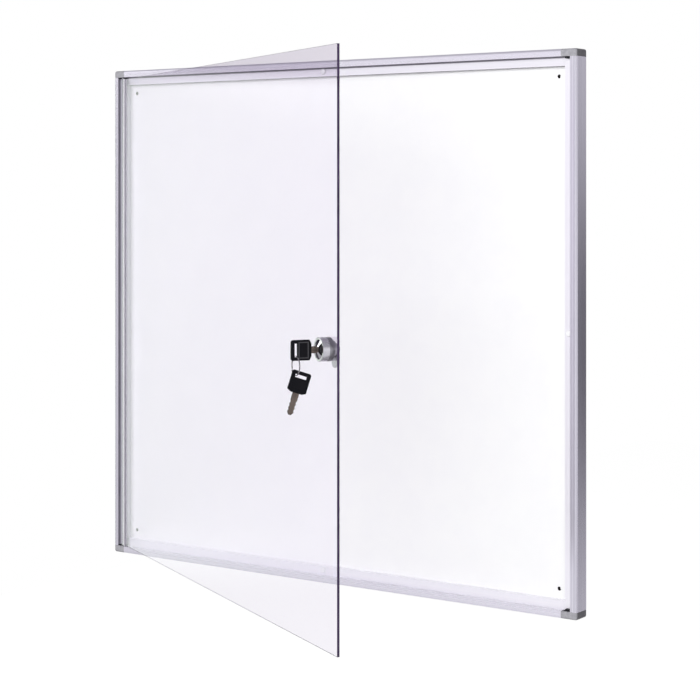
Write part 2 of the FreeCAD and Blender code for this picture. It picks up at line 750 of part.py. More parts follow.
def make_cam_screw():
    """The screw that holds the cam on the plug's tip."""
    body = new_body("cam_screw")
    shank = f"{s('screw_diameter')} / 2"
    head = f"{s('screw_head_diameter')} / 2"
    seat = f"({BARREL_END} + {s('cam_thickness')})"
    top = f"({seat} + {s('screw_head_height')})"
    turn_outline(body, "outline", [
        ("0", f"{seat} - {s('screw_length')}"), (shank, f"{seat} - {s('screw_length')}"),
        (shank, seat), (head, seat), (head, top), ("0", top)])
    wide = s("screw_drive_width")
    long = s("screw_drive_length")
    deep = s("screw_drive_depth")
    for name, across, up in (("slot_up", wide, long), ("slot_across", long, wide)):
        cut_counts(body, lambda: add_block(
            body, name, (f"-{across} / 2", f"{top} - {deep}", f"-{up} / 2"),
            (across, deep, up), cut=True))
    body.Placement = LOCK_PLACE
    return body


def part_box(name, low, extent):
    """A plain box from its lowest corner and its three lengths, all expressions."""
    box = doc.addObject("Part::Box", name)
    for axis, place in zip("xyz", low):
        box.setExpression(f"Placement.Base.{axis}", place)
    for side, length in zip(("Length", "Width", "Height"), extent):
        box.setExpression(side, length)
    return box


def make_wafers():
    """Thin plates in the plug, each with a window for the blade and a tab for its spring."""
    wide = s("wafer_width")
    tall = s("wafer_height")
    thick = s("wafer_thickness")
    window_x = f"({s('blade_thickness')} + 4 * {s('key_fit')})"
    window_z = f"({s('blade_width')} + 4 * {s('key_fit')})"
    plates = []
    for index in range(WAFER_COUNT):
        front = wafer_front(index)
        plate = part_box(f"wafer_plate_{index}", (f"-{wide} / 2", front, f"-{tall} / 2"),
                         (wide, thick, tall))
        tab = part_box(f"wafer_tab_{index}",
                       ("0 * 1 mm", front, f"{s('wafer_spring_length')} / 2 + {s('wafer_gap')}"),
                       (s("wafer_tab_reach"), thick, s("wafer_tab_height")))
        window = part_box(f"wafer_window_{index}",
                          (f"-{window_x} / 2", front, f"-{window_z} / 2"),
                          (window_x, thick, window_z))
        whole = doc.addObject("Part::Fuse", f"wafer_whole_{index}")
        whole.Base = plate
        whole.Tool = tab
        wafer = doc.addObject("Part::Cut", f"wafer_{index}")
        wafer.Base = whole
        wafer.Tool = window
        plates.append(wafer)
    group = doc.addObject("Part::Compound", "lock_wafers")
    group.Links = plates
    group.Placement = LOCK_PLACE
    return group


def make_wafer_springs():
    """The little springs under the wafers' tabs, closed up."""
    springs = []
    for index in range(WAFER_COUNT):
        spring = doc.addObject("Part::Cylinder", f"wafer_spring_{index}")
        spring.setExpression("Radius", f"{s('wafer_spring_diameter')} / 2")
        spring.setExpression("Height", s("wafer_spring_length"))
        spring.setExpression(
            "Placement.Base.x", f"({s('wafer_width')} / 2 + {s('wafer_tab_reach')}) / 2")
        spring.setExpression(
            "Placement.Base.y", f"{wafer_front(index)} + {s('wafer_thickness')} / 2")
        spring.setExpression("Placement.Base.z", f"-{s('wafer_spring_length')} / 2")
        springs.append(spring)
    group = doc.addObject("Part::Compound", "wafer_springs")
    group.Links = springs
    group.Placement = LOCK_PLACE
    return group


lock_housing = make_lock_housing()
lock_collar = make_lock_collar()
lock_nut = make_lock_nut()
lock_plug = make_lock_plug()
lock_cam = make_cam()
cam_screw = make_cam_screw()
lock_wafers = make_wafers()
wafer_springs = make_wafer_springs()


# Keys: each lies in its own YZ plane, with the blade towards +y and the bow at negative y,
# and y = 0 where the blade leaves the bow.

SLOT_MIDDLE = f"({s('key_slot_from_end')} + {s('key_slot_width')} / 2 - {s('bow_length')})"


def make_key_bow(label, place):
    """The plastic bow: chamfered towards the blade, slotted for the ring, framed on each face."""
    body = new_body(label)
    half = f"{s('bow_width')} / 2"
    cut = s("bow_chamfer")
    length = s("bow_length")
    sketch = new_sketch(body, "outline", "YZ_Plane")
    add_outline(sketch, [
        (f"-{length}", f"-{half}"), (f"-{cut} / 2", f"-{half}"), ("0", f"{cut} - {half}"),
        ("0", f"{half} - {cut}"), (f"-{cut} / 2", half), (f"-{length}", half)])
    pad_middle(body, sketch, s("bow_thickness"))
    far = -mm("bow_length")
    round_edges(body, "corners", s("bow_round"),
                lambda edge: runs_along(edge, X_AXIS) and passes(edge, near=far))
    inset = s("bow_frame_inset")
    border = s("bow_frame_width")
    relief = s("bow_frame")
    start = s("bow_frame_start")
    thick = f"({s('bow_thickness')} + 2 * {relief})"
    frame_y = f"{start} - {length}"
    frame_long = f"({length} - {start} - {cut} / 2 - {inset} / 2)"
    frame_half = f"({half} - {inset})"
    add_block(body, "frame", (f"-{thick} / 2", frame_y, f"-{frame_half}"),
              (thick, frame_long, f"2 * {frame_half}"))
    for name, low_x in (("near", f"{s('bow_thickness')} / 2"), ("far", f"-{thick} / 2")):
        low = (low_x, f"{frame_y} + {border}", f"{border} - {frame_half}")
        extent = (relief, f"{frame_long} - 2 * {border}", f"2 * {frame_half} - 2 * {border}")
        cut_counts(body, lambda: add_block(body, f"frame_{name}", low, extent, cut=True))
    slot_half = f"({s('key_slot_length')} / 2)"
    slot_wide = s("key_slot_width")
    cut_counts(body, lambda: add_block(
        body, "slot", (f"-{thick}", f"{SLOT_MIDDLE} - {slot_wide} / 2", f"-{slot_half}"),
        (f"2 * {thick}", slot_wide, f"2 * {slot_half}"), cut=True))
    tang_half = f"({s('blade_width')} / 2 - {s('key_fit')})"
    pocket = f"({s('blade_thickness')} / 2)"
    cut_counts(body, lambda: add_block(
        body, "tang_pocket", (f"-{pocket}", f"-{s('key_tang')}", f"-{tang_half}"),
        (f"2 * {pocket}", s("key_tang"), f"2 * {tang_half}"), cut=True))
    body.Placement = place
    return body


def make_key_blade(label, place):
    """The metal blade: a tang in the bow, a plain shoulder, wavy edges and a blunt point."""
    body = new_body(label)
    half = f"({s('blade_width')} / 2)"
    tang_half = f"({s('blade_width')} / 2 - {s('key_fit')})"
    shoulder = s("blade_shoulder")
    pitch = s("blade_cut_pitch")
    cut = s("blade_cut")
    upper = [(f"-{s('key_tang')}", tang_half), ("0", tang_half), ("0", half), (shoulder, half)]
    for index in range(BLADE_CUTS):
        start = f"{shoulder} + {index} * {pitch}"
        for share in CUT_FLOOR:
            upper.append((f"{start} + {pitch} * {share}", f"{half} - {cut}"))
        upper.append((f"{start} + {pitch}", half))
    upper.append((s("blade_length"), f"{s('blade_tip_width')} / 2"))
    lower = [(along, f"-({up})") for along, up in reversed(upper)]
    sketch = new_sketch(body, "outline", "YZ_Plane")
    add_outline(sketch, upper + lower)
    pad_middle(body, sketch, s("blade_thickness"))
    body.Placement = place
    return body


def make_ring():
    """The split ring, hanging from the first key's slot in a plane across the lock's axis."""
    ring = doc.addObject("Part::Torus", "key_ring")
    ring.Label = "key_ring"
    ring.setExpression("Radius1", f"({s('ring_diameter')} - {s('ring_wire')}) / 2")
    ring.setExpression("Radius2", f"{s('ring_wire')} / 2")
    ring.setExpression("Angle3", f"360 - {s('ring_split_degrees')}")
    flat = Placement(Vector(), Rotation(X_AXIS, 90))
    ring.Placement = RING_PLACE * flat
    return ring


slot_y = mm("key_slot_from_end") + mm("key_slot_width") / 2 - mm("bow_length")
wire_z = mm("key_slot_length") / 2 - mm("ring_wire") / 2 - mm("ring_gap")
ring_radius = (mm("ring_diameter") - mm("ring_wire")) / 2
head_front = mm("head_length") + mm("collar_length")

KEY_ONE_PLACE = LOCK_PLACE * Placement(Vector(0, -head_front - mm("key_standoff"), 0), Rotation())
RING_PLACE = KEY_ONE_PLACE * Placement(Vector(0, slot_y, -wire_z - ring_radius), Rotation())
hang_point = Placement(Vector(0, slot_y, -wire_z - 2 * ring_radius), Rotation())
hang_turn = Placement(Vector(), Rotation(X_AXIS, -90 - mm("key_two_tilt_degrees")))
from_wire = Placement(Vector(0, -slot_y, wire_z), Rotation())
KEY_TWO_PLACE = KEY_ONE_PLACE * hang_point * hang_turn * from_wire

key_one_blade = make_key_blade("key_one_blade", KEY_ONE_PLACE)
key_one_bow = make_key_bow("key_one_bow", KEY_ONE_PLACE)
key_ring = make_ring()
key_two_blade = make_key_blade("key_two_blade", KEY_TWO_PLACE)
key_two_bow = make_key_bow("key_two_bow", KEY_TWO_PLACE)

NODES = [top_rail, bottom_rail, hinge_stile, lock_stile, *caps, board_face, board_core,
         board_back, *buffers, hinge_rail, door_panel, lock_housing, lock_collar, lock_nut,
         lock_plug, lock_wafers, wafer_springs, lock_cam, cam_screw, key_one_blade,
         key_one_bow, key_ring, key_two_blade, key_two_bow]

doc.recompute()
for item in doc.Objects:
    if "Invalid" in item.State or "Error" in item.State:
        raise RuntimeError(f"{item.Name} is {item.State}")
for node in NODES:
    if node.Shape.isNull() or not node.Shape.isValid():
        raise RuntimeError(f"{node.Label} has no sound shape")
os.makedirs("parts", exist_ok=True)
for node in NODES:
    node.Shape.exportStep(os.path.join("parts", f"{node.Label}.step"))

# The hinge axes, for the joints: a point on each and its direction
for name, place in (("door hinge", DOOR_PLACE), ("lock", LOCK_PLACE),
                    ("ring hang", KEY_ONE_PLACE * Placement(Vector(0, slot_y, -wire_z), Rotation())),
                    ("key two hang", KEY_ONE_PLACE * hang_point)):
    print(name, [round(v, 4) for v in place.Base])
door_way = DOOR_PLACE.Rotation.multVec(X_AXIS)
out_way = DOOR_PLACE.Rotation.multVec(Vector(0, -1, 0))
print("along the door", [round(v, 6) for v in door_way])
print("out of the door", [round(v, 6) for v in out_way])
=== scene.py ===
"""Looks of the lockable notice board: finishes, fine pieces, light and camera, in metres."""

from __future__ import annotations

import json
import logging
import math
from collections.abc import Callable, Sequence
from dataclasses import dataclass, field
from enum import Enum

import bmesh
import bpy
from mathutils import Matrix, Vector

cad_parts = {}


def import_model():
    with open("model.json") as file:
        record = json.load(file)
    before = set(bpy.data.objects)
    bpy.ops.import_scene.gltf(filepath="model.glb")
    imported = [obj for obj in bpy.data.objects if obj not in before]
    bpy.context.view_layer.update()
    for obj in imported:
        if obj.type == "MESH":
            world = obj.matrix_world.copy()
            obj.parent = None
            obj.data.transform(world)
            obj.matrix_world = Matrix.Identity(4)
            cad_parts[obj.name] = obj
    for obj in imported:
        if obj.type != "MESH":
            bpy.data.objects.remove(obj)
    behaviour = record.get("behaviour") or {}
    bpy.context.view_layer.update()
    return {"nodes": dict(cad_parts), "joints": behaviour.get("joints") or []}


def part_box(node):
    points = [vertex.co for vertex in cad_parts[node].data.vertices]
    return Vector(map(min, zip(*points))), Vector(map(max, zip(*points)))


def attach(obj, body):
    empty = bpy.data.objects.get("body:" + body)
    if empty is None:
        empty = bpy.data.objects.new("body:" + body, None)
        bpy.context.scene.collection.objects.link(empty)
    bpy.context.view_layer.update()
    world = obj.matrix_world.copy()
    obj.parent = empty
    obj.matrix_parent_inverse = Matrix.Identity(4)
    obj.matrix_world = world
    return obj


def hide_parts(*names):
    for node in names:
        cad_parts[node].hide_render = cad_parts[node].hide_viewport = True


LOG = logging.getLogger("notice_board")
MM = 0.001
Colour = tuple[float, float, float]
Point = tuple[float, float, float]
Span = tuple[float, float]
Node = bpy.types.Node
Socket = bpy.types.NodeSocket
Tree = bpy.types.NodeTree
Material = bpy.types.Material
Mesh = bpy.types.Mesh
Face = bpy.types.MeshPolygon
Piece = bpy.types.Object


class Run(Enum):
    """The way that a surface's fine lines run, as the pattern's stretch along each axis."""

    ACROSS = (0.0, 1.0, 1.0)
    UPRIGHT = (1.0, 1.0, 0.0)
    NONE = (1.0, 1.0, 1.0)


class Mask(Enum):
    """A value that varies over a surface: its effect and that effect's output."""

    LINES = ("drawn_lines", "Lines")
    DRAWN = ("drawn_lines", "Tone")
    GRAIN = ("fine_grain", "Grain")
    MOTTLE = ("fine_grain", "Mottle")
    SMUDGE = ("smudges", "Smudge")
    CRYSTAL = ("zinc_spangle", "Crystal")
    FACET = ("zinc_spangle", "Facet")
    SPANGLE = ("zinc_spangle", "Tone")


class Body(Enum):
    """The moving bodies that the pieces ride on."""

    CASE = "case"
    DOOR = "door"
    BARREL = "lock_barrel"
    KEY_ONE = "key_one"
    RING = "split_ring"
    KEY_TWO = "key_two"


# Node trees


class Graph:
    """A node tree being built, with short calls to add nodes and join them."""

    def __init__(self, tree: Tree) -> None:
        """Takes the tree that the nodes go into."""
        self.tree = tree

    def feed(self, target: Socket, value: object) -> None:
        """Gives a socket its value.

        Args:
            target: The socket.
            value: Another socket, a number, a triple or a colour.
        """
        if isinstance(value, Socket):
            self.tree.links.new(value, target)
        else:
            target.default_value = (*value, 1.0) if target.type == "RGBA" else value

    def fill(self, made: Node, given: dict[str, object]) -> None:
        """Gives a node's inputs their values by name."""
        for name, value in given.items():
            self.feed(made.inputs[name], value)

    def node(self, kind: str, given: dict[str, object] | None = None, **settings: object) -> Node:
        """Adds a node.

        Args:
            kind: The node's type name.
            given: Its inputs' values by name.
            settings: The node's own properties.

        Returns:
            The new node.
        """
        made = self.tree.nodes.new(kind)
        for name, value in settings.items():
            setattr(made, name, value)
        self.fill(made, given or {})
        return made

    def ordered(self, kind: str, values: Sequence[object], **settings: object) -> Node:
        """Adds a node whose inputs are given in order.

        Args:
            kind: The node's type name.
            values: Its first inputs' values.
            settings: The node's own properties.

        Returns:
            The new node.
        """
        made = self.node(kind, **settings)
        for socket, value in zip(made.inputs, values):
            self.feed(socket, value)
        return made

    def math(self, operation: str, *values: object) -> Socket:
        """A Math node's result, from sockets or numbers in order."""
        return self.ordered("ShaderNodeMath", values, operation=operation).outputs[0]

    def vector(self, operation: str, *values: object) -> Node:
        """A Vector Math node, from sockets or triples in order."""
        return self.ordered("ShaderNodeVectorMath", values, operation=operation)

    def either(self, factor: Socket, no: Socket, yes: Socket) -> Socket:
        """One of two shaders, by a factor."""
        return self.ordered("ShaderNodeMixShader", (factor, no, yes)).outputs[0]

    def blend(self, factor: object, low: object, high: object) -> Socket:
        """A mix of two colours, each a socket or a triple.

        Args:
            factor: How much of the second.
            low: The first colour.
            high: The second colour.

        Returns:
            The mixed colour.
        """
        made = self.node("ShaderNodeMix", data_type="RGBA")
        for place, value in ((0, factor), (6, low), (7, high)):
            self.feed(made.inputs[place], value)
        return made.outputs[2]

    def spread(self, value: object, low: float, high: float, to_low: float = 0.0,
               to_high: float = 1.0) -> Socket:
        """A smooth map of a value from one range to another, held at its ends."""
        return self.ordered("ShaderNodeMapRange", (value, low, high, to_low, to_high),
                            interpolation_type="SMOOTHSTEP").outputs[0]

    def noise(self, where: Socket, scale: object, detail: float, warp: float = 0.0) -> Socket:
        """A Noise Texture's value at a place."""
        return self.node("ShaderNodeTexNoise", {"Vector": where, "Scale": scale, "Detail": detail,
                                                "Distortion": warp}).outputs[0]

    def object_place(self) -> Socket:
        """Where on the object a point of the surface is."""
        return self.node("ShaderNodeTexCoord").outputs["Object"]


def new_group(name: str, inputs: Sequence[str],
              outputs: Sequence[str]) -> tuple[Graph, Node, Node]:
    """Starts a shader node group of plain numbers, but for a triple named Stretch.

    Args:
        name: Its name.
        inputs: Its inputs' names.
        outputs: Its outputs' names.

    Returns:
        Its graph, and its input and output nodes.
    """
    tree = bpy.data.node_groups.new(name, "ShaderNodeTree")
    for label in inputs:
        kind = "NodeSocketVector" if label == "Stretch" else "NodeSocketFloat"
        tree.interface.new_socket(name=label, in_out="INPUT", socket_type=kind)
    for label in outputs:
        tree.interface.new_socket(name=label, in_out="OUTPUT", socket_type="NodeSocketFloat")
    graph = Graph(tree)
    return graph, graph.node("NodeGroupInput"), graph.node("NodeGroupOutput")


@dataclass(frozen=True)
class Noise:
    """One noise of an effect: the input with its scale, its output, and its spread if any."""

    scale: str
    output: str
    detail: float
    span: Span | None = None
    warp: float = 0.0

    def value(self, graph: Graph, where: Socket, given: Node) -> Socket:
        """Builds the noise.

        Args:
            graph: The effect's graph.
            where: The place that it reads.
            given: The effect's input node.

        Returns:
            Its value, spread where it has a span.
        """
        plain = graph.noise(where, given.outputs[self.scale], self.detail, self.warp)
        return graph.spread(plain, *self.span) if self.span else plain


class Effects:
    """The surface effects that the finishes share, each one node group."""

    lines: tuple[Noise, ...] = (Noise("Fine", "Lines", 3.0, (0.3, 0.7)),
                                Noise("Broad", "Bands", 1.0, (0.35, 0.65)))
    grain: tuple[Noise, ...] = (Noise("Fine", "Grain", 4.0),
                                Noise("Broad", "Mottle", 3.0, (0.35, 0.65)))
    smudge: Noise = Noise("Touch", "Smudge", 5.0, (0.45, 0.75), 0.6)
    lines_shares: Span = (0.45, 0.55)
    spangle_shares: Span = (0.8, 0.2)
    end_fade_mm: float = 0.4

    def __init__(self) -> None:
        """Builds the groups."""
        self.groups = {"drawn_lines": self.pattern("drawn_lines", self.lines, self.lines_shares),
                       "fine_grain": self.pattern("fine_grain", self.grain),
                       "smudges": self.pattern("smudges", (self.smudge,)),
                       "zinc_spangle": self.spangle(), "painted_end_shade": self.ends()}

    @staticmethod
    def sum_of(graph: Graph, parts: Sequence[Socket], shares: Span) -> Socket:
        """Two values' weighted sum."""
        scaled = [graph.math("MULTIPLY", part, share) for part, share in zip(parts, shares)]
        return graph.math("ADD", *scaled)

    def pattern(self, name: str, noises: Sequence[Noise], shares: Span | None = None) -> Tree:
        """A group of noises: drawn lines with slow bands, a moulded grain, or wiped patches.

        Args:
            name: Its name.
            noises: Its noises.
            shares: How much each counts in the output Tone, where it has one.

        Returns:
            The group.
        """
        scales = [noise.scale for noise in noises]
        outputs = [noise.output for noise in noises] + ["Tone"] * bool(shares)
        graph, given, out = new_group(name, ["Stretch", *scales], outputs)
        where = graph.vector("MULTIPLY", graph.object_place(), given.outputs["Stretch"]).outputs[0]
        values = [noise.value(graph, where, given) for noise in noises]
        if shares:
            values.append(self.sum_of(graph, values, shares))
        graph.fill(out, dict(zip(outputs, values)))
        return graph.tree

    def spangle(self) -> Tree:
        """Zinc's crystals, with faint wiped patches over them.

        Returns:
            The group.
        """
        outputs = ["Crystal", "Facet", "Tone"]
        graph, given, out = new_group("zinc_spangle", ["Broad", "Touch"], outputs)
        where = graph.object_place()
        crystals = graph.node("ShaderNodeTexVoronoi", {"Vector": where,
                                                       "Scale": given.outputs["Broad"]})
        split = graph.node("ShaderNodeSeparateColor", {"Color": crystals.outputs["Color"]})
        crystal, facet = split.outputs[0], split.outputs[1]
        tone = self.sum_of(graph, (crystal, self.smudge.value(graph, where, given)),
                           self.spangle_shares)
        graph.fill(out, dict(zip(outputs, (crystal, facet, tone))))
        return graph.tree

    def ends(self) -> Tree:
        """An upright profile's two ends, in painted shade past a height.

        Returns:
            The group.
        """
        graph, given, out = new_group("painted_end_shade", ["Start"], ["End"])
        split = graph.node("ShaderNodeSeparateXYZ", {"Vector": graph.object_place()})
        past = graph.math("SUBTRACT", graph.math("ABSOLUTE", split.outputs["Z"]),
                          given.outputs["Start"])
        graph.fill(out, {"End": graph.spread(past, 0.0, self.end_fade_mm * MM)})
        return graph.tree

    def place(self, graph: Graph, group: str, values: dict[str, object]) -> Node:
        """Puts an effect into a material.

        Args:
            graph: The material's graph.
            group: The effect.
            values: Values by input name, of which it takes its own.

        Returns:
            The group node.
        """
        made = graph.node("ShaderNodeGroup", node_tree=self.groups[group])
        for socket in made.inputs:
            graph.feed(socket, values[socket.name])
        return made


# Finishes


def start_material(name: str) -> tuple[Material, Graph, Node, Node]:
    """A new material with a Principled surface.

    Args:
        name: The material's name.

    Returns:
        The material, its graph, its surface node and its output node.
    """
    material = bpy.data.materials.new(name)
    material.use_nodes = True
    material.node_tree.nodes.clear()
    graph = Graph(material.node_tree)
    surface = graph.node("ShaderNodeBsdfPrincipled")
    output = graph.node("ShaderNodeOutputMaterial", {"Surface": surface.outputs[0]})
    return material, graph, surface, output


@dataclass(frozen=True)
class Ends:
    """Painted shade on a profile: past a height above and below the case's middle."""

    start: float = 0.0
    # The painted shade's colour.
    colour: Colour = (0.02, 0.018, 0.025)


@dataclass(frozen=True)
class Finish:
    """A finish whose colour, shine and fine relief vary over the surface.

    The tone picks between the dark and the pale colour. The shine, over its span, picks between
    the two roughnesses. Fine, broad and touch are the scales of the effects' patterns.
    """

    name: str
    pale: Colour
    dark: Colour
    rough: Span
    metallic: float = 0.0
    tone: Mask = Mask.MOTTLE
    shine: Mask = Mask.SMUDGE
    span: Span = (0.0, 1.0)
    relief: Mask = Mask.GRAIN
    relief_mm: float = 0.003
    specular: float = 0.5
    run: Run = Run.NONE
    fine: float = 1500.0
    broad: float = 35.0
    touch: float = 120.0
    ends: Ends = Ends()

    def make(self, effects: Effects) -> Material:
        """Builds the material.

        Args:
            effects: The shared effects.

        Returns:
            The material.
        """
        material, graph, surface, _ = start_material(self.name)
        values = {"Fine": self.fine, "Broad": self.broad, "Touch": self.touch,
                  "Stretch": self.run.value, "Start": self.ends.start}
        masks = [mask.value for mask in (self.tone, self.shine, self.relief)]
        placed = {group: effects.place(graph, group, values)
                  for group in dict.fromkeys(group for group, _ in masks)}
        tone, shine, relief = (placed[group].outputs[output] for group, output in masks)
        colour = graph.blend(tone, self.dark, self.pale)
        # Painted shade past the ends' height, in the ends' colour.
        if self.ends.start:
            end = effects.place(graph, "painted_end_shade", values).outputs["End"]
            colour = graph.blend(end, colour, self.ends.colour)
        bump = graph.node("ShaderNodeBump", {"Strength": 1.0, "Distance": self.relief_mm * MM,
                                             "Height": relief})
        graph.fill(surface, {"Base Color": colour, "Metallic": self.metallic,
                             "Roughness": graph.spread(shine, *self.span, *self.rough),
                             "Specular IOR Level": self.specular, "Normal": bump.outputs[0]})
        return material


@dataclass(frozen=True)
class DrawnMetal(Finish):
    """Metal with fine lines along it, such as an anodised extrusion or a milled blade."""

    tone: Mask = Mask.DRAWN
    shine: Mask = Mask.DRAWN
    relief: Mask = Mask.LINES
    relief_mm: float = 0.0015
    fine: float = 900.0
    broad: float = 60.0


@dataclass(frozen=True)
class GrainedPlastic(Finish):
    """Moulded plastic, lacquer or rubber with a fine grain."""

    shine: Mask = Mask.GRAIN
    span: Span = (0.3, 0.7)
    relief_mm: float = 0.01


@dataclass(frozen=True)
class CastMetal(Finish):
    """Plated die-cast or turned metal, with faint touch marks."""

    metallic: float = 1.0
    fine: float = 2500.0


@dataclass(frozen=True)
class ZincSpangle(Finish):
    """Galvanised sheet, with the crystal pattern of its zinc."""

    metallic: float = 0.9
    tone: Mask = Mask.SPANGLE
    shine: Mask = Mask.FACET
    relief: Mask = Mask.CRYSTAL
    relief_mm: float = 0.004
    broad: float = 90.0
    touch: float = 6.0


@dataclass(frozen=True)
class Fibreboard(Finish):
    """Pressed wood fibre, seen only in the screw holes."""

    tone: Mask = Mask.GRAIN
    shine: Mask = Mask.MOTTLE
    relief_mm: float = 0.1
    fine: float = 900.0


@dataclass(frozen=True)
class ClearPlastic:
    """Clear acrylic, which lets the lamps through to what is behind it."""

    name: str
    tint: Colour
    shadow_tint: Colour
    roughness: float
    ior: float = 1.49
    scratch: float = 0.01
    touch: float = 9.0

    def make(self, effects: Effects) -> Material:
        """Builds the material.

        Args:
            effects: The shared effects.

        Returns:
            The material.
        """
        material, graph, surface, output = start_material(self.name)
        smudge = effects.place(graph, "smudges", {"Touch": self.touch, "Stretch": Run.NONE.value})
        rough = graph.spread(smudge.outputs[0], 0.0, 1.0, self.roughness,
                             self.roughness + self.scratch)
        graph.fill(surface, {"Base Color": self.tint, "Transmission Weight": 1.0, "IOR": self.ior,
                             "Roughness": rough})
        through = graph.node("ShaderNodeBsdfTransparent", {"Color": self.shadow_tint})
        shadow = graph.node("ShaderNodeLightPath").outputs["Is Shadow Ray"]
        shown = graph.either(shadow, surface.outputs[0], through.outputs[0])
        graph.fill(output, {"Surface": shown})
        return material


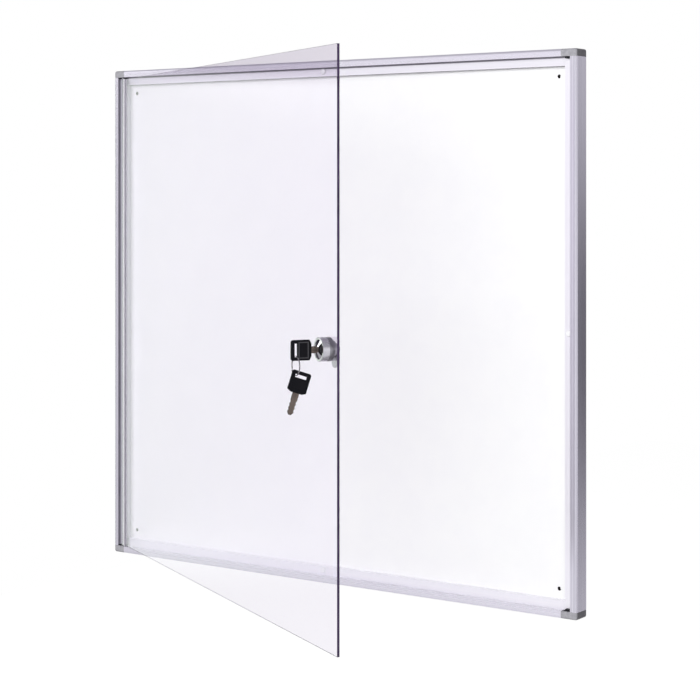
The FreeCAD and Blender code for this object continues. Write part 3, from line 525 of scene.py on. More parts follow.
@dataclass(frozen=True)
class Finishes:
    """Every finish on the object, made once."""

    hinge_rail_top: float
    case_top: float
    lip_shade: float = 0.0112
    effects: Effects = field(default_factory=Effects)

    def make_all(self) -> dict[str, Material]:
        """Builds the materials.

        Returns:
            Each material by a short name.
        """
        # The rails and stiles are one anodised metal: the rails' copy, lip, is painted lighter than
        # the stiles', side, as a painted sheen.
        lip = ((0.93, 0.91, 0.985), (0.86, 0.84, 0.92))
        side = ((0.80, 0.785, 0.86), (0.73, 0.715, 0.79))
        # The lock stile's lip: darker than its ledge, in broad upright bands.
        banded_lip = ((0.90, 0.885, 0.955), (0.68, 0.665, 0.735))
        # Painted shade: a darker copy of the metal for the lock stile's outside faces.
        outside_shade = ((0.66, 0.64, 0.72), (0.58, 0.56, 0.63))
        ledge = ((0.95, 0.935, 0.99), (0.90, 0.885, 0.945))
        # Painted shade: a near-black copy of the metal for the inner walls.
        inner_wall_shade = ((0.16, 0.15, 0.185), (0.12, 0.115, 0.14))
        # Painted shade: a lighter shaded copy of the metal for the hinge stile's inner wall.
        hinge = ((0.76, 0.745, 0.81), (0.70, 0.685, 0.745))
        # Painted shade, near black, past the hinge rail's ends under the caps.
        shade_under_cap = Ends(self.hinge_rail_top)
        # Painted shadow in a band on the top ledge, under the lip.
        shadow_under_lip = Ends(self.case_top - self.lip_shade, (0.30, 0.29, 0.33))
        across, upright = {"run": Run.ACROSS}, {"run": Run.UPRIGHT}
        dull, mild, deep_dull = (0.36, 0.32), (0.30, 0.26), (0.42, 0.38)
        kinds: dict[str, Finish | ClearPlastic] = {
            "rail": DrawnMetal("anodised_rail", *lip, mild, 0.85, **across),
            "rail_ledge": DrawnMetal("anodised_rail_ledge", *ledge, dull, 0.35, **across),
            # The top ledge carries the painted shadow under the lip.
            "top_ledge": DrawnMetal("anodised_top_ledge", *ledge, dull, 0.35, ends=shadow_under_lip,
                                    **across),
            # Painted shade on the rails' inner walls.
            "rail_wall_shade": DrawnMetal("anodised_rail_wall_painted_shade", *inner_wall_shade, deep_dull, 0.6, **across),
            "stile": DrawnMetal("anodised_stile", *side, mild, 0.85, **upright),
            # Painted shade on the lock stile's outside faces.
            "stile_side_shade": DrawnMetal("anodised_stile_side_painted_shade", *outside_shade, (0.28, 0.24), 0.95, **upright),
            "stile_lip": DrawnMetal("anodised_stile_lip", *banded_lip, (0.32, 0.28), 0.85, broad=420.0,
                                    **upright),
            "stile_ledge": DrawnMetal("anodised_stile_ledge", *ledge, dull, 0.35, **upright),
            # Painted shade on the hinge stile's inner wall, near black past its ends.
            "hinge_wall_shade": DrawnMetal("anodised_hinge_wall_painted_shade", *hinge, dull, 0.35, ends=shade_under_cap,
                                     **upright),
            # Painted shade on the hinge ledge past its ends.
            "hinge_ledge": DrawnMetal("anodised_hinge_ledge", *ledge, dull, 0.10, ends=shade_under_cap,
                                      **upright),
            # Painted shade on the stiles' inner walls and the rib's free end.
            "stile_wall_shade": DrawnMetal("anodised_stile_wall_painted_shade", *inner_wall_shade, deep_dull, 0.6, **upright),
            # Painted shade in the hinge socket, near black past its ends.
            "socket": GrainedPlastic("socket_shade", (0.26, 0.25, 0.30), (0.22, 0.21, 0.26),
                                     (0.46, 0.56), relief_mm=0.004, specular=0.3, ends=shade_under_cap),
            "cap": GrainedPlastic("cap_grey", (0.41, 0.405, 0.435), (0.34, 0.335, 0.365),
                                  (0.38, 0.48), relief_mm=0.03, specular=0.3, broad=260.0),
            # Painted shade: a darker copy of the cap plastic for its outer ends.
            "cap_side_shade": GrainedPlastic("cap_grey_side_painted_shade", (0.26, 0.255, 0.28), (0.20, 0.195, 0.22),
                                       (0.38, 0.48), relief_mm=0.03, specular=0.3, broad=260.0),
            # Painted shade: the nub and the faces round it near black.
            "cap_nub_shade": GrainedPlastic("cap_nub_painted_shade", (0.02, 0.02, 0.024), (0.014, 0.014, 0.018),
                                      (0.46, 0.56), specular=0.2),
            "board": GrainedPlastic("white_lacquer", (0.95, 0.95, 0.955), (0.935, 0.935, 0.945),
                                    (0.46, 0.56), fine=700.0, relief_mm=0.004, specular=0.3),
            # The fibre's brown, darkened to paint the shade in the screw holes.
            "core": Fibreboard("pressed_fibre_with_hole_shade", (0.060, 0.050, 0.045), (0.030, 0.025, 0.022),
                               (0.8, 0.95)),
            "back": ZincSpangle("galvanised_back", (0.66, 0.67, 0.69), (0.50, 0.51, 0.54),
                                (0.34, 0.5)),
            "sheet": ClearPlastic("acrylic_face", (0.93, 0.885, 0.97), (0.985, 0.98, 0.995), 0.0),
            "edge": GrainedPlastic("acrylic_edge", (0.050, 0.028, 0.085), (0.030, 0.016, 0.055),
                                   (0.18, 0.28), fine=400.0, relief_mm=0.02, specular=0.4),
            "buffer": GrainedPlastic("buffer_silicone", (0.90, 0.90, 0.92), (0.86, 0.86, 0.89),
                                     (0.18, 0.28), relief_mm=0.004),
            "head": CastMetal("lock_head_satin", (0.72, 0.715, 0.75), (0.64, 0.635, 0.67),
                              (0.26, 0.36)),
            "face": CastMetal("lock_face_polish", (0.62, 0.615, 0.64), (0.56, 0.555, 0.58),
                              (0.05, 0.10), relief_mm=0.001),
            "washer": CastMetal("washer_steel", (0.36, 0.355, 0.38), (0.30, 0.295, 0.32),
                                (0.34, 0.42)),
            "zinc": CastMetal("zinc_plate", (0.46, 0.455, 0.48), (0.38, 0.375, 0.40), (0.30, 0.42)),
            "brass": CastMetal("wafer_brass_skin", (0.78, 0.60, 0.28), (0.66, 0.49, 0.22),
                               (0.28, 0.4)),
            "spring": CastMetal("spring_wire", (0.48, 0.48, 0.50), (0.42, 0.42, 0.44),
                                (0.25, 0.35)),
            "blade": DrawnMetal("key_blade_nickel", (0.22, 0.18, 0.155), (0.10, 0.08, 0.07),
                                (0.28, 0.16), 1.0, fine=1400.0, relief_mm=0.006),
            "bow": GrainedPlastic("bow_black", (0.006, 0.006, 0.008), (0.004, 0.004, 0.006),
                                  (0.38, 0.48), fine=2600.0, relief_mm=0.012, specular=0.12),
            # Painted highlight: a lighter copy of the bow plastic for the raised frame.
            "bow_rim_highlight": GrainedPlastic("bow_rim_painted_highlight", (0.060, 0.060, 0.066),
                                      (0.045, 0.045, 0.05), (0.30, 0.40), fine=2600.0,
                                      relief_mm=0.006, specular=0.3),
            "ring": CastMetal("ring_chrome", (0.44, 0.43, 0.44), (0.34, 0.33, 0.34), (0.08, 0.16)),
        }
        return {short: kind.make(self.effects) for short, kind in kinds.items()}


# Meshes


def settle(shape: bmesh.types.BMesh, mesh: Mesh, sharp_degrees: float | None = None,
           outward: bool = True) -> Mesh:
    """Writes a shape to a mesh and shades it smooth.

    Args:
        shape: The shape, which is freed.
        mesh: The mesh.
        sharp_degrees: Edges sharper than this stay sharp.
        outward: Whether its faces are turned outwards first.

    Returns:
        The mesh.
    """
    if outward:
        bmesh.ops.recalc_face_normals(shape, faces=shape.faces)
    shape.to_mesh(mesh)
    shape.free()
    mesh.shade_smooth()
    if sharp_degrees:
        mesh.set_sharp_from_angle(angle=math.radians(sharp_degrees))
    return mesh


def loft(name: str, rings: Sequence[Sequence[Point]], sharp_degrees: float) -> Mesh:
    """A closed solid through rings of points.

    Args:
        name: The mesh's name.
        rings: Each ring's points in millimetres.
        sharp_degrees: Edges sharper than this stay sharp.

    Returns:
        The mesh.
    """
    shape = bmesh.new()
    loops = [[shape.verts.new(Vector(point) * MM) for point in ring] for ring in rings]
    around = len(loops[0])
    for near, far in zip(loops, loops[1:]):
        for i in range(around):
            j = (i + 1) % around
            shape.faces.new((near[i], near[j], far[j], far[i]))
    for end in (loops[0], loops[-1]):
        shape.faces.new(end)
    return settle(shape, bpy.data.meshes.new(name), sharp_degrees)


def merged_copy(node: Piece, name: str, merge_mm: float = 0.002,
                flat_degrees: float = 0.5) -> Mesh:
    """A node's mesh with its triangles joined into whole faces.

    Args:
        node: The node's object, which stays as it is.
        name: The new mesh's name.
        merge_mm: Corners nearer than this are one.
        flat_degrees: The angle under which two faces are one.

    Returns:
        The new mesh.
    """
    shape = bmesh.new()
    shape.from_mesh(node.data)
    bmesh.ops.remove_doubles(shape, verts=shape.verts, dist=merge_mm * MM)
    bmesh.ops.dissolve_limit(shape, angle_limit=math.radians(flat_degrees), verts=shape.verts,
                             edges=shape.edges, delimit={"NORMAL"})
    mesh = bpy.data.meshes.new(name)
    shape.to_mesh(mesh)
    shape.free()
    packed_normals = mesh.attributes.get("custom_normal")
    if packed_normals:
        mesh.attributes.remove(packed_normals)
    return mesh


def round_off(piece: Piece, width_mm: float, segments: int = 2,
              angle_degrees: float = 35.0) -> None:
    """Rounds a piece's sharp edges with a live modifier.

    Args:
        piece: The piece.
        width_mm: The rounding's width.
        segments: Its faces across.
        angle_degrees: Edges sharper than this are rounded.
    """
    piece.data.shade_smooth()
    bevel = piece.modifiers.new("edge_break", "BEVEL")
    bevel.width = width_mm * MM
    bevel.segments = segments
    bevel.limit_method = "ANGLE"
    bevel.angle_limit = math.radians(angle_degrees)
    bevel.use_clamp_overlap = True
    even = piece.modifiers.new("even_shading", "WEIGHTED_NORMAL")
    even.mode = "FACE_AREA"
    even.weight = 100


@dataclass(frozen=True)
class Place:
    """Where the door, the lock and the keys are, read from the joints at rest."""

    out: Vector
    along: Vector
    pivot: Vector
    lock: Vector
    ring_top: Vector
    ring_bottom: Vector

    @classmethod
    def from_joints(cls, joints: Sequence[dict]) -> Place:
        """Reads the places.

        Args:
            joints: The record's joints.

        Returns:
            The places.
        """
        by_name = {joint["name"]: joint for joint in joints}
        return cls(out=Vector(by_name["lock_turn"]["axis"]).normalized(),
                   along=Vector(by_name["ring_swing"]["axis"]).normalized(),
                   pivot=Vector(by_name["door_hinge"]["pos_m"]),
                   lock=Vector(by_name["lock_turn"]["pos_m"]),
                   ring_top=Vector(by_name["ring_swing"]["pos_m"]),
                   ring_bottom=Vector(by_name["key_two_swing"]["pos_m"]))

    def frame_at(self, origin: Vector) -> Matrix:
        """A place square to the door: X along it, Y into it, Z up."""
        axes = Matrix((self.along, -self.out, Vector((0, 0, 1)))).transposed()
        return Matrix.Translation(origin) @ axes.to_4x4()


@dataclass(frozen=True)
class Kit:
    """What the sub-assemblies are built from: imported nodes, finishes and the joints' places."""

    nodes: dict[str, Piece]
    finishes: dict[str, Material]
    place: Place

    def add(self, name: str, mesh: Mesh, coats: Sequence[str], body: Body, slot: str,
            *replaced: str) -> Piece:
        """Adds a finished mesh to the object.

        Args:
            name: The piece's name.
            mesh: Its mesh, already in the row frame.
            coats: Its finishes in order.
            body: The body that it rides on.
            slot: The record's slot for its finish; not used.
            replaced: The nodes that it stands for.

        Returns:
            The piece.
        """
        piece = bpy.data.objects.new(name, mesh)
        bpy.context.scene.collection.objects.link(piece)
        mesh.materials.clear()
        for coat in coats:
            mesh.materials.append(self.finishes[coat])
        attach(piece, body.value)
        if replaced:
            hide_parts(*replaced)
        LOG.info("%s: %d faces on %s", name, len(mesh.polygons), body.value)
        return piece

    def dress(self, node: str, finish: str) -> None:
        """Gives a node that stays its finish.

        Args:
            node: The node's name.
            finish: The finish's short name.
        """
        slots = self.nodes[node].data.materials
        slots.clear()
        slots.append(self.finishes[finish])
        LOG.info("%s: %s", node, finish)


def paint(mesh: Mesh, rule: Callable[[Face], int]) -> None:
    """Gives each face the finish that a rule picks."""
    for face in mesh.polygons:
        face.material_index = rule(face)


@dataclass(frozen=True)
class SoftNode:
    """A node shown by a copy of itself with its edges broken, as on the real piece."""

    node: str
    piece: str
    coats: tuple[str, ...]
    slot: str
    body: Body
    edge_mm: float
    pick: Callable[[Face], int] = lambda face: 0

    def build(self, kit: Kit) -> None:
        """Makes the piece.

        Args:
            kit: The nodes, finishes and places.
        """
        mesh = merged_copy(kit.nodes[self.node], self.piece)
        piece = kit.add(self.piece, mesh, self.coats, self.body, self.slot, self.node)
        paint(mesh, self.pick)
        round_off(piece, self.edge_mm)


# Sub-assemblies


@dataclass
class Case:
    """The aluminium case, its corner caps, its board and its buffers."""

    profile_edge_mm: float = 0.25
    cap_edge_mm: float = 0.4
    facing_share: float = 0.8
    socket_reach_mm: float = 7.0
    front_band_mm: float = 3.5
    cap_inner: Span = (0.3668, 0.3368)

    def build(self, kit: Kit) -> None:
        """Makes the profiles and caps, and dresses the board and the buffers.

        Args:
            kit: The nodes, finishes and places.
        """
        profiles = {
            "top_rail": ((0, 0, -1), ("rail", "rail_wall_shade", "socket", "top_ledge", "rail")),
            "bottom_rail": ((0, 0, 1), ("rail", "rail_ledge", "socket", "rail_ledge", "rail")),
            "hinge_stile": ((1, 0, 0), ("stile", "hinge_wall_shade", "socket", "hinge_ledge", "stile")),
            "lock_stile": ((-1, 0, 0), ("stile_side_shade", "stile_wall_shade", "socket", "stile_ledge",
                                        "stile_lip"))}
        for node, (inward, coats) in profiles.items():
            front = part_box(node)[0].y + self.front_band_mm * MM
            SoftNode(node, f"{node}_profile", coats, "anodised_profile", Body.CASE,
                     self.profile_edge_mm,
                     self.shade_rule(Vector(inward), kit.place.pivot, front)).build(kit)
        # Each cap's nub and outer ends take painted shade.
        for corner in ("top_hinge", "top_lock", "bottom_hinge", "bottom_lock"):
            SoftNode(f"corner_cap_{corner}", f"cap_{corner}", ("cap", "cap_nub_shade", "cap_side_shade"),
                     "cap_plastic", Body.CASE, self.cap_edge_mm, self.cap_rule).build(kit)
        for node, finish in (("board_face_sheet", "board"), ("board_core", "core"),
                             ("board_back_sheet", "back"), ("buffer_top", "buffer"),
                             ("buffer_bottom", "buffer"), ("buffer_lock_side", "buffer")):
            kit.dress(node, finish)

    def cap_rule(self, face: Face) -> int:
        """Which finish a cap's face has.

        Args:
            face: The face.

        Returns:
            1 on its nub and the faces round that, 2 on its outer end, both in painted shade, else
            0.
        """
        wide, tall = self.cap_inner
        if abs(face.center.x) < wide and abs(face.center.z) < tall:
            return 1
        return 2 if abs(face.normal.x) > self.facing_share else 0

    def shade_rule(self, inward: Vector, pivot: Vector, front: float) -> Callable[[Face], int]:
        """Which finish a profile's face has.

        Args:
            inward: The way from the profile to the board's middle.
            pivot: A point on the hinge's axis.
            front: Faces that look out of the case behind this level are the ledge.

        Returns:
            A rule from a face to its finish: 0 outside, 1 inner wall, 2 hinge socket, 3 ledge,
            4 lip. The inner walls and the socket are in painted shade, as is the lock stile's
            outside.
        """
        def rule(face: Face) -> int:
            """Which finish a face has.

            Args:
                face: The face.

            Returns:
                The finish's place in the row.
            """
            if face.normal.dot(inward) >= self.facing_share:
                apart = face.center - pivot
                return 2 if math.hypot(apart.x, apart.y) < self.socket_reach_mm * MM else 1
            if face.normal.y > -self.facing_share:
                return 0
            return 3 if face.center.y > front else 4
        return rule


@dataclass
class Door:
    """The clear sheet and the profile on its hinge edge, with lengths in millimetres."""

    sheet_edge: float = 0.2
    rail_edge: float = 0.2
    face_share: float = 0.9
    rib_end: float = 17.2
    rib_width: float = 3.7
    rib_height: float = 0.9
    rib_base: float = 2.65
    rib_lip: float = 0.3
    rib_lip_share: float = 0.55
    rib_steps: int = 10
    rib_sharp_degrees: float = 35.0

    def build(self, kit: Kit) -> None:
        """Makes the door's pieces.

        Args:
            kit: The nodes, finishes and places.
        """
        def free_edge(face: Face) -> int:
            """1 on the faces that look along the door, away from the hinge."""
            return int(face.normal.dot(kit.place.along) > self.face_share)

        SoftNode("door_hinge_rail", "hinge_rail_profile", ("stile", "stile_ledge"),
                 "anodised_profile", Body.DOOR, self.rail_edge, free_edge).build(kit)
        rib = self.rib(kit.place)
        # The rib's free end takes the painted shade of the stile walls.
        kit.add("hinge_rail_rib", rib, ("stile_ledge", "stile_wall_shade"), Body.DOOR, "anodised_profile")
        paint(rib, free_edge)
        mesh = merged_copy(kit.nodes["door_panel"], "clear_sheet")
        sheet = kit.add("clear_sheet", mesh, ("sheet", "edge"), Body.DOOR, "clear_acrylic",
                        "door_panel")
        paint(mesh, lambda face: int(abs(face.normal.dot(kit.place.out)) <= self.face_share))
        round_off(sheet, self.sheet_edge, segments=1)
        mesh.shade_flat()

    def rib(self, place: Place) -> Mesh:
        """The round rib that runs up the rail's free edge, in front.

        Args:
            place: Where the hinge is.

        Returns:
            Its mesh.
        """
        low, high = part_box("door_hinge_rail")
        crest = self.rib_width - self.rib_lip
        outline = [(self.rib_end, self.rib_base),
                   (self.rib_end, self.rib_base + self.rib_lip_share * self.rib_height)]
        for step in range(self.rib_steps + 1):
            turn = math.pi / 2 * step / self.rib_steps
            outline.append((self.rib_end - self.rib_lip - crest * math.sin(turn),
                            self.rib_base + self.rib_height * math.cos(turn)))
        rings = [[(x, -y, z / MM) for x, y in outline] for z in (low.z, high.z)]
        mesh = loft("hinge_rail_rib", rings, self.rib_sharp_degrees)
        mesh.transform(place.frame_at(Vector((place.pivot.x, place.pivot.y, 0.0))))
        return mesh


@dataclass(frozen=True)
class CoilSpec:
    """A wire coil, or a row of the same coil: lengths in millimetres."""

    diameter: float
    wire: float
    turns: float
    height: float
    count: int = 1
    step: Point = (0.0, 0.0, 0.0)
    steps_a_turn: int = 24
    wire_sides: int = 8


@dataclass
class Lock:
    """The cam lock: its fixed parts on the door and its turning parts, in millimetres."""

    edge: float = 0.25
    face_level: float = -13.6
    face_radius: float = 10.75
    crown: float = 3.6
    crown_power: float = 1.2
    crown_grid: float = 1.1
    level_slack: float = 0.01
    cut_slack: float = 0.001
    plug_sharp_degrees: float = 35.0
    spring: CoilSpec = CoilSpec(0.78, 0.16, 7.0, 3.1, 5, (0.0, 2.5, 0.0))
    spring_side: float = 3.0
    spring_first: float = -10.15

    def build(self, kit: Kit) -> None:
        """Makes the lock's pieces.

        Args:
            kit: The nodes, finishes and places.
        """
        soft = (("lock_housing", "lock_head", "head", "lock_zinc", Body.DOOR),
                ("lock_collar", "lock_spacer", "washer", "lock_washer", Body.DOOR),
                ("lock_nut", "round_nut", "zinc", "zinc_steel", Body.DOOR),
                ("lock_cam", "cam_tongue", "zinc", "zinc_steel", Body.BARREL),
                ("cam_screw", "cam_screw_head", "zinc", "zinc_steel", Body.BARREL))
        for node, piece, finish, slot, body in soft:
            SoftNode(node, piece, (finish,), slot, body, self.edge).build(kit)
        kit.add("crowned_plug", self.plug(kit), ("face",), Body.BARREL, "lock_face", "lock_plug")
        kit.dress("lock_wafers", "brass")
        coils = coil_mesh("wafer_coils", kit.finishes["spring"], self.spring)
        start = Vector((self.spring_side, self.spring_first, -self.spring.height / 2)) * MM
        coils.transform(kit.place.frame_at(kit.place.lock) @ Matrix.Translation(start))
        kit.add("wafer_coils", coils, ("spring",), Body.BARREL, "spring_steel", "wafer_springs")

    def plug(self, kit: Kit) -> Mesh:
        """The turning plug, whose polished face rises to a blunt cone.

        Args:
            kit: The nodes, finishes and places.

        Returns:
            Its mesh.
        """
        mesh = merged_copy(kit.nodes["lock_plug"], "crowned_plug")
        where = kit.place.frame_at(kit.place.lock)
        mesh.transform(where.inverted())
        shape = bmesh.new()
        shape.from_mesh(mesh)

        def on_face(vert: bmesh.types.BMVert) -> bool:
            """Whether a corner is on the plug's outer face."""
            return abs(vert.co.y - self.face_level * MM) < self.level_slack * MM

        count = int(self.face_radius / self.crown_grid) + 1
        for axis in (0, 2):
            for step in range(-count, count + 1):
                cut, normal = Vector((0, 0, 0)), Vector((0, 0, 0))
                cut[axis] = (step + 0.5) * self.crown_grid * MM
                normal[axis] = 1.0
                faces = [face for face in shape.faces if all(on_face(vert) for vert in face.verts)]
                edges = {edge for face in faces for edge in face.edges}
                verts = {vert for face in faces for vert in face.verts}
                bmesh.ops.bisect_plane(shape, geom=[*faces, *edges, *verts], plane_co=cut,
                                       plane_no=normal, dist=self.cut_slack * MM)
        for vert in filter(on_face, shape.verts):
            share = min(1.0, math.hypot(vert.co.x, vert.co.z) / (self.face_radius * MM))
            vert.co.y -= self.crown * MM * (1.0 - share ** self.crown_power)
        settle(shape, mesh, outward=False)
        mesh.transform(where)
        mesh.set_sharp_from_angle(angle=math.radians(self.plug_sharp_degrees))
        return mesh


def coil_tree(material: Material) -> Tree:
    """A Geometry Nodes tree that winds wire into a row of equal coils.

    Args:
        material: The wire's finish.

    Returns:
        The tree, whose inputs are sizes in metres and counts.
    """
    tree = bpy.data.node_groups.new("wound_wire", "GeometryNodeTree")
    for label, kind in (("Radius", "Float"), ("Wire Radius", "Float"), ("Turns", "Float"),
                        ("Height", "Float"), ("Count", "Int"), ("Step", "Vector"),
                        ("Steps A Turn", "Int"), ("Wire Sides", "Int")):
        tree.interface.new_socket(name=label, in_out="INPUT", socket_type=f"NodeSocket{kind}")
    tree.interface.new_socket(name="Geometry", in_out="OUTPUT", socket_type="NodeSocketGeometry")
    graph = Graph(tree)
    given = graph.node("NodeGroupInput").outputs
    helix = graph.node("GeometryNodeCurveSpiral", {
        "Resolution": given["Steps A Turn"], "Rotations": given["Turns"],
        "Start Radius": given["Radius"], "End Radius": given["Radius"], "Height": given["Height"]})
    circle = graph.node("GeometryNodeCurvePrimitiveCircle", {
        "Resolution": given["Wire Sides"], "Radius": given["Wire Radius"]})
    wire = graph.node("GeometryNodeCurveToMesh", {
        "Curve": helix.outputs[0], "Profile Curve": circle.outputs[0], "Fill Caps": True})
    row = graph.node("GeometryNodeMeshLine", {"Count": given["Count"], "Offset": given["Step"]},
                     mode="OFFSET")
    copies = graph.node("GeometryNodeInstanceOnPoints", {"Points": row.outputs[0],
                                                         "Instance": wire.outputs[0]})
    whole = graph.ordered("GeometryNodeRealizeInstances", copies.outputs[:1])
    painted = graph.node("GeometryNodeSetMaterial", {"Geometry": whole.outputs[0],
                                                     "Material": material})
    graph.node("NodeGroupOutput", {"Geometry": painted.outputs[0]})
    return tree


def coil_mesh(name: str, material: Material, spec: CoilSpec) -> Mesh:
    """A plain mesh of wound wire, standing on its own Z axis.

    Args:
        name: The mesh's name.
        material: The wire's finish.
        spec: The coil's sizes.

    Returns:
        The mesh.
    """
    tree = coil_tree(material)
    maker = bpy.data.objects.new(f"{name}_maker", bpy.data.meshes.new(f"{name}_maker"))
    bpy.context.scene.collection.objects.link(maker)
    modifier = maker.modifiers.new("wound_wire", "NODES")
    modifier.node_group = tree
    values = {"Radius": (spec.diameter - spec.wire) / 2 * MM, "Wire Radius": spec.wire / 2 * MM,
              "Turns": spec.turns, "Height": spec.height * MM, "Count": spec.count,
              "Step": tuple(part * MM for part in spec.step), "Steps A Turn": spec.steps_a_turn,
              "Wire Sides": spec.wire_sides}
    for item in tree.interface.items_tree:
        if item.in_out == "INPUT":
            modifier[item.identifier] = values[item.name]
    depsgraph = bpy.context.evaluated_depsgraph_get()
    mesh = bpy.data.meshes.new_from_object(maker.evaluated_get(depsgraph), depsgraph=depsgraph)
    mesh.name = name
    bpy.data.objects.remove(maker)
    shape = bmesh.new()
    shape.from_mesh(mesh)
    return settle(shape, mesh)


@dataclass
class KeyBlade:
    """A flat key blade, cut alike on both edges and milled with a groove on each face."""

    tang: float = 12.0
    length: float = 24.5
    width: float = 7.6
    thickness: float = 1.9
    shoulder: float = 8.0
    cut: float = 0.9
    cut_pitch: float = 4.4
    cut_flat: float = 0.62
    cuts: int = 3
    tip_share: float = 0.34
    tip_length: float = 1.5
    tip_thinning: float = 0.35
    tang_slack: float = 0.15
    root_gap: float = 0.01
    groove_low: float = -0.9
    groove_high: float = 0.7
    groove_depth: float = 0.38
    groove_slope: float = 0.25
    groove_start: float = 1.2
    groove_runout: float = 0.3
    groove_needs: float = 2.2
    edge_break: float = 0.18
    first_step: float = 2.0
    step: float = 0.35
    sharp_degrees: float = 30.0

    def half_width(self, along: float) -> float:
        """The blade's half width.

        Args:
            along: A place along it, in millimetres.

        Returns:
            The half width there, in millimetres.
        """
        half = self.width / 2
        if along <= 0:
            return half - self.tang_slack
        wave_end = self.shoulder + self.cuts * self.cut_pitch
        if along <= self.shoulder:
            return half
        if along <= wave_end:
            turn = 2 * math.pi * (along - self.shoulder) / self.cut_pitch
            return half - self.cut * min(1.0, self.cut_flat * (1 - math.cos(turn)))
        share = (along - wave_end) / (self.length - wave_end)
        return half * (1 - (1 - self.tip_share) * share)

    def section(self, along: float) -> list[Point]:
        """The blade's outline across it.

        Args:
            along: A place along it, in millimetres.

        Returns:
            The outline's points there.
        """
        half = self.half_width(along)
        depth = self.groove_depth if along > self.groove_start else 0.0
        tip = max(0.0, along - (self.length - self.tip_length)) / self.tip_length
        thick = self.thickness / 2 * (1 - self.tip_thinning * tip)
        narrow = min(1.0, half / self.groove_needs)
        low, high = self.groove_low * narrow, self.groove_high * narrow
        slope, rim = self.groove_slope, self.edge_break
        right = [(thick - rim, -half), (thick, -half + rim), (thick, low),
                 (thick - depth, low + slope), (thick - depth, high - slope), (thick, high),
                 (thick, half - rim), (thick - rim, half)]
        left = [(-x, z) for x, z in reversed(right)]
        return [(x, along, z) for x, z in right + left]

    def mesh(self, name: str) -> Mesh:
        """Lofts the blade through its sections.

        Args:
            name: The mesh's name.

        Returns:
            The mesh, in the key's own frame.
        """
        rest = self.length - self.first_step
        count = int(rest / self.step)
        stations = [-self.tang, -self.root_gap, 0.0, self.groove_start,
                    self.groove_start + self.groove_runout]
        stations += [self.first_step + rest * i / count for i in range(count + 1)]
        return loft(name, [self.section(along) for along in stations], self.sharp_degrees)


@dataclass
class Keys:
    """The two keys and the split ring that joins them, with lengths in millimetres."""

    slot_from_root: float = 18.25
    wire_from_middle: float = 6.4
    second_tilt_degrees: float = 18.65
    bow_edge: float = 0.3
    rim_level: float = 1.5
    ring_diameter: float = 22.0
    ring_wire: float = 0.70
    ring_turns: float = 1.97
    ring_pitch: float = 0.71
    ring_steps: int = 72
    ring_sides: int = 12
    ring_end_degrees: float = 200.0
    blade: KeyBlade = field(default_factory=KeyBlade)

    def build(self, kit: Kit) -> None:
        """Makes the keys' pieces.

        Args:
            kit: The nodes, finishes and places.
        """
        place = kit.place
        root = Matrix.Translation(Vector((0, self.slot_from_root, self.wire_from_middle)) * MM)
        hang = Matrix.Rotation(-math.radians(90 + self.second_tilt_degrees), 4, "X")
        first = place.frame_at(place.ring_top) @ root
        second = place.frame_at(place.ring_bottom) @ hang @ root
        # Key one's raised bow frame takes a painted highlight.
        for number, where, body, rim in (("one", first, Body.KEY_ONE, "bow_rim_highlight"),
                                         ("two", second, Body.KEY_TWO, "bow")):
            blade = self.blade.mesh(f"blade_{number}")
            blade.transform(where)
            kit.add(f"blade_{number}", blade, ("blade",), body, "blade_metal",
                    f"key_{number}_blade")
            SoftNode(f"key_{number}_bow", f"bow_{number}", ("bow", rim), "bow_plastic", body,
                     self.bow_edge, self.rim_rule(where.translation, place.along)).build(kit)
        self.ring(kit)

    def rim_rule(self, middle: Vector, along: Vector) -> Callable[[Face], int]:
        """Which finish a bow's face has: 1 on its raised frame, which on key one carries a painted
        highlight, else 0.
        """
        return lambda face: int(abs((face.center - middle).dot(along)) > self.rim_level * MM)

    def ring(self, kit: Kit) -> None:
        """Winds the split ring: two turns of wire, side by side.

        Args:
            kit: The nodes, finishes and places.
        """
        height = self.ring_pitch * self.ring_turns
        mesh = coil_mesh("split_ring_wire", kit.finishes["ring"], CoilSpec(
            self.ring_diameter, self.ring_wire, self.ring_turns, height,
            steps_a_turn=self.ring_steps, wire_sides=self.ring_sides))
        middle = (kit.place.ring_top + kit.place.ring_bottom) / 2
        lie = (Matrix.Rotation(math.radians(90), 4, "X")
               @ Matrix.Rotation(math.radians(self.ring_end_degrees), 4, "Z"))
        mesh.transform(kit.place.frame_at(middle) @ lie
                       @ Matrix.Translation((0, 0, -height / 2 * MM)))
        kit.add("split_ring_wire", mesh, ("ring",), Body.RING, "ring_steel", "key_ring")


# Light and camera


@dataclass(frozen=True)
class Lamp:
    """A square soft lamp aimed at a point."""

    name: str
    place: Point
    aim: Point
    side: float
    watts: float
    mirrored: bool = True

    def add(self) -> None:
        """Adds the lamp to the scene."""
        light = bpy.data.lights.new(self.name, "AREA")
        light.shape = "SQUARE"
        light.size = self.side
        light.energy = self.watts
        holder = bpy.data.objects.new(self.name, light)
        holder.location = self.place
        way = Vector(self.aim) - Vector(self.place)
        holder.rotation_euler = way.to_track_quat("-Z", "Y").to_euler()
        holder.visible_glossy = self.mirrored
        holder.visible_transmission = False
        bpy.context.scene.collection.objects.link(holder)


@dataclass(frozen=True)
class Patch:
    """A part of the room round one direction; it fades in between two cosines from it."""

    towards: Point
    edge: float
    full: float

    def mask(self, graph: Graph, way: Socket) -> Socket:
        """How much of the patch a ray's direction meets."""
        near = graph.vector("DOT_PRODUCT", way, self.towards).outputs["Value"]
        return graph.spread(near, self.edge, self.full)


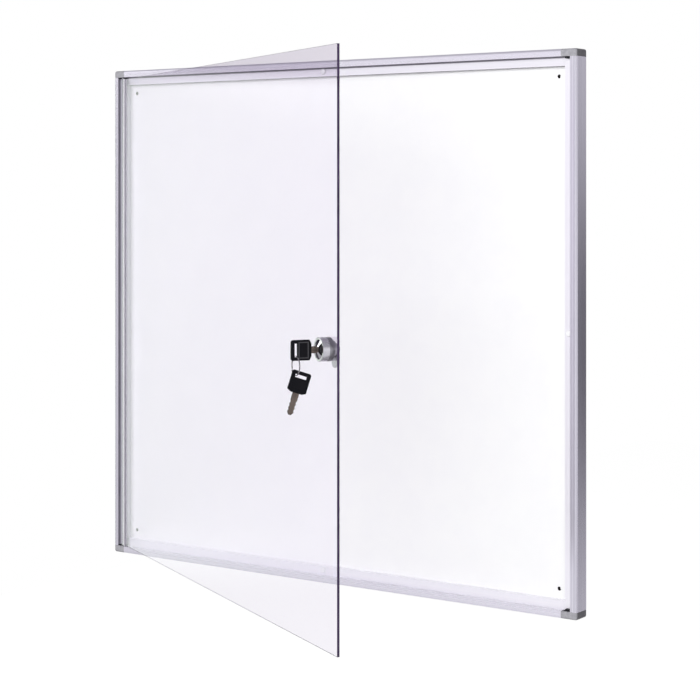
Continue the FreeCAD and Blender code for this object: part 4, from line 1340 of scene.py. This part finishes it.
@dataclass(frozen=True)
class Room:
    """The room that metal and the clear sheet mirror."""

    wall: Colour = (0.66, 0.65, 0.69)
    bright_wall: Colour = (0.93, 0.92, 0.96)
    ceiling: Colour = (0.42, 0.41, 0.45)
    ceiling_starts: Span = (0.12, 0.45)
    bright_side: Patch = Patch((1.0, 0.0, 0.0), -0.645, -0.50)
    dark: Colour = (0.03, 0.025, 0.04)
    dark_right: Patch = Patch((0.36, 0.93, -0.05), 0.935, 0.966)
    dark_right_level: float = -0.085
    dark_right_reach: Span = (0.03, 0.14)
    dark_right_least: float = 0.25
    dark_left: Patch = Patch((-0.97, 0.24, 0.0), 0.86, 0.94)
    dark_left_share: float = 0.92
    card: Patch = Patch((-0.9925, 0.122, 0.0), 0.955, 0.97)
    card_level: float = -0.08
    card_reach: Span = (0.30, 0.34)
    card_low: Colour = (1.12, 1.24, 1.10)
    card_high: Colour = (0.04, 0.035, 0.05)
    card_turns: Span = (0.055, 0.068)
    card_foot: Colour = (0.84, 0.93, 0.82)
    card_foot_turns: Span = (-0.185, -0.215)
    dark_near: Patch = Patch((-0.88, -0.47, 0.05), 0.97, 0.985)
    ground_starts: Span = (-0.10, -0.22)
    ground_share: float = 0.16

    def colour(self, graph: Graph, way: Socket, rise: Socket) -> Socket:
        """What a mirrored ray sees.

        Args:
            graph: The world's graph.
            way: The ray's direction.
            rise: Its upward part.

        Returns:
            The colour.
        """
        walls = graph.blend(self.bright_side.mask(graph, way), self.wall, self.bright_wall)
        around = graph.blend(graph.spread(rise, *self.ceiling_starts), walls, self.ceiling)
        off_level = graph.math("ABSOLUTE", graph.math("SUBTRACT", rise, self.dark_right_level))
        level = graph.spread(off_level, *self.dark_right_reach, 1.0, self.dark_right_least)
        right = graph.math("MULTIPLY", self.dark_right.mask(graph, way), level)
        left = graph.math("MULTIPLY", self.dark_left.mask(graph, way), self.dark_left_share)
        ground = graph.math("MULTIPLY", graph.spread(rise, *self.ground_starts), self.ground_share)
        sides = graph.math("MAXIMUM", right, left)
        near = graph.math("MAXIMUM", self.dark_near.mask(graph, way), ground)
        around = graph.blend(graph.math("MAXIMUM", sides, near), around, self.dark)
        off_card = graph.math("ABSOLUTE", graph.math("SUBTRACT", rise, self.card_level))
        lit = graph.math("MULTIPLY", self.card.mask(graph, way),
                         graph.spread(off_card, *self.card_reach, 1.0, 0.0))
        card = graph.blend(graph.spread(rise, *self.card_foot_turns), self.card_low, self.card_foot)
        card = graph.blend(graph.spread(rise, *self.card_turns), card, self.card_high)
        return graph.blend(lit, around, card)


@dataclass
class Studio:
    """The floor, the soft light, the white background and the camera."""

    floor_level: float = -1.15
    floor_side: float = 14.0
    floor_left: float = -3.0
    floor_grey: float = 0.6
    floor_glow: float = 0.87
    floor_roughness: float = 0.9
    sky: float = 0.20
    white: Colour = (1.0, 1.0, 1.0)
    first_bounce: float = 0.5
    camera_place: Point = (1.4490, -2.0089, 0.1715)
    camera_turn_degrees: float = 35.345
    lens: float = 95.47
    sensor: float = 36.0
    frame_shift: float = -0.22517
    room: Room = field(default_factory=Room)
    lamps: tuple[Lamp, ...] = (
        Lamp("front_lamp", (0.5, -2.7, 0.62), (0.05, 0.0, 0.0), 1.7, 74.0, mirrored=False),
        Lamp("left_lamp", (-2.4, -1.2, 1.0), (0.0, 0.0, 0.0), 1.0, 8.0),
    )

    def build(self) -> None:
        """Sets the stage."""
        self.background()
        self.floor()
        for lamp in self.lamps:
            lamp.add()
        self.camera()
        bpy.context.scene.view_settings.view_transform = "Standard"

    def seen_directly(self, graph: Graph) -> tuple[Socket, Node]:
        """Where a ray comes from the camera, straight or through the clear sheet.

        Args:
            graph: The world's or a material's graph.

        Returns:
            1 on such rays, and the Light Path node.
        """
        rays = graph.node("ShaderNodeLightPath")
        either = graph.math("MAXIMUM", rays.outputs["Is Camera Ray"],
                            rays.outputs["Is Transmission Ray"])
        bounces = graph.math("ADD", rays.outputs["Diffuse Depth"], rays.outputs["Glossy Depth"])
        straight = graph.math("LESS_THAN", bounces, self.first_bounce)
        return graph.math("MULTIPLY", either, straight), rays

    def background(self) -> None:
        """A white background, an even sky for the light, and a room for what is mirrored."""
        world = bpy.data.worlds.new("studio_air")
        bpy.context.scene.world = world
        world.use_nodes = True
        world.node_tree.nodes.clear()
        graph = Graph(world.node_tree)
        way = graph.node("ShaderNodeTexCoord").outputs["Generated"]
        rise = graph.node("ShaderNodeSeparateXYZ", {"Vector": way}).outputs["Z"]
        straight, rays = self.seen_directly(graph)
        polished = graph.math("MULTIPLY", rays.outputs["Is Glossy Ray"], graph.math(
            "LESS_THAN", rays.outputs["Diffuse Depth"], self.first_bounce))
        plain = graph.blend(polished, (self.sky,) * 3, self.room.colour(graph, way, rise))
        air = graph.node("ShaderNodeBackground",
                         {"Color": graph.blend(straight, plain, self.white)})
        graph.node("ShaderNodeOutputWorld", {"Surface": air.outputs[0]})

    def floor(self) -> None:
        """A plain floor, well under the case, that reads white and takes a faint shadow."""
        half, left = self.floor_side / 2, self.floor_left
        mesh = bpy.data.meshes.new("floor")
        corners = [(left, -half), (half, -half), (half, half), (left, half)]
        mesh.from_pydata([(x, y, self.floor_level) for x, y in corners], [], [(0, 1, 2, 3)])
        floor = bpy.data.objects.new("floor", mesh)
        floor.visible_glossy = False
        bpy.context.scene.collection.objects.link(floor)
        material, graph, surface, output = start_material("floor_white")
        graph.fill(surface, {"Base Color": (self.floor_grey,) * 3,
                             "Roughness": self.floor_roughness, "Specular IOR Level": 0.0})
        glow = graph.node("ShaderNodeEmission", {"Strength": self.floor_glow})
        straight, _ = self.seen_directly(graph)
        bright = graph.ordered("ShaderNodeAddShader", (surface.outputs[0], glow.outputs[0]))
        shown = graph.either(straight, surface.outputs[0], bright.outputs[0])
        graph.fill(output, {"Surface": shown})
        mesh.materials.append(material)

    def camera(self) -> None:
        """The camera, level and turned as the photograph's."""
        data = bpy.data.cameras.new("camera")
        data.lens = self.lens
        data.sensor_width = self.sensor
        data.shift_y = self.frame_shift
        holder = bpy.data.objects.new("camera", data)
        holder.location = self.camera_place
        holder.rotation_euler = (math.radians(90), 0.0, math.radians(self.camera_turn_degrees))
        bpy.context.scene.collection.objects.link(holder)
        bpy.context.scene.camera = holder


def main() -> None:
    """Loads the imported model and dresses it, part by part."""
    logging.basicConfig(level=logging.INFO, format="%(name)s: %(message)s")
    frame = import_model()
    finishes = Finishes(hinge_rail_top=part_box("door_hinge_rail")[1].z,
                        case_top=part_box("top_rail")[1].z).make_all()
    kit = Kit(frame["nodes"], finishes, Place.from_joints(frame["joints"]))
    for assembly in (Case(), Door(), Lock(), Keys()):
        assembly.build(kit)
    Studio().build()


if __name__ == "__main__":
    main()
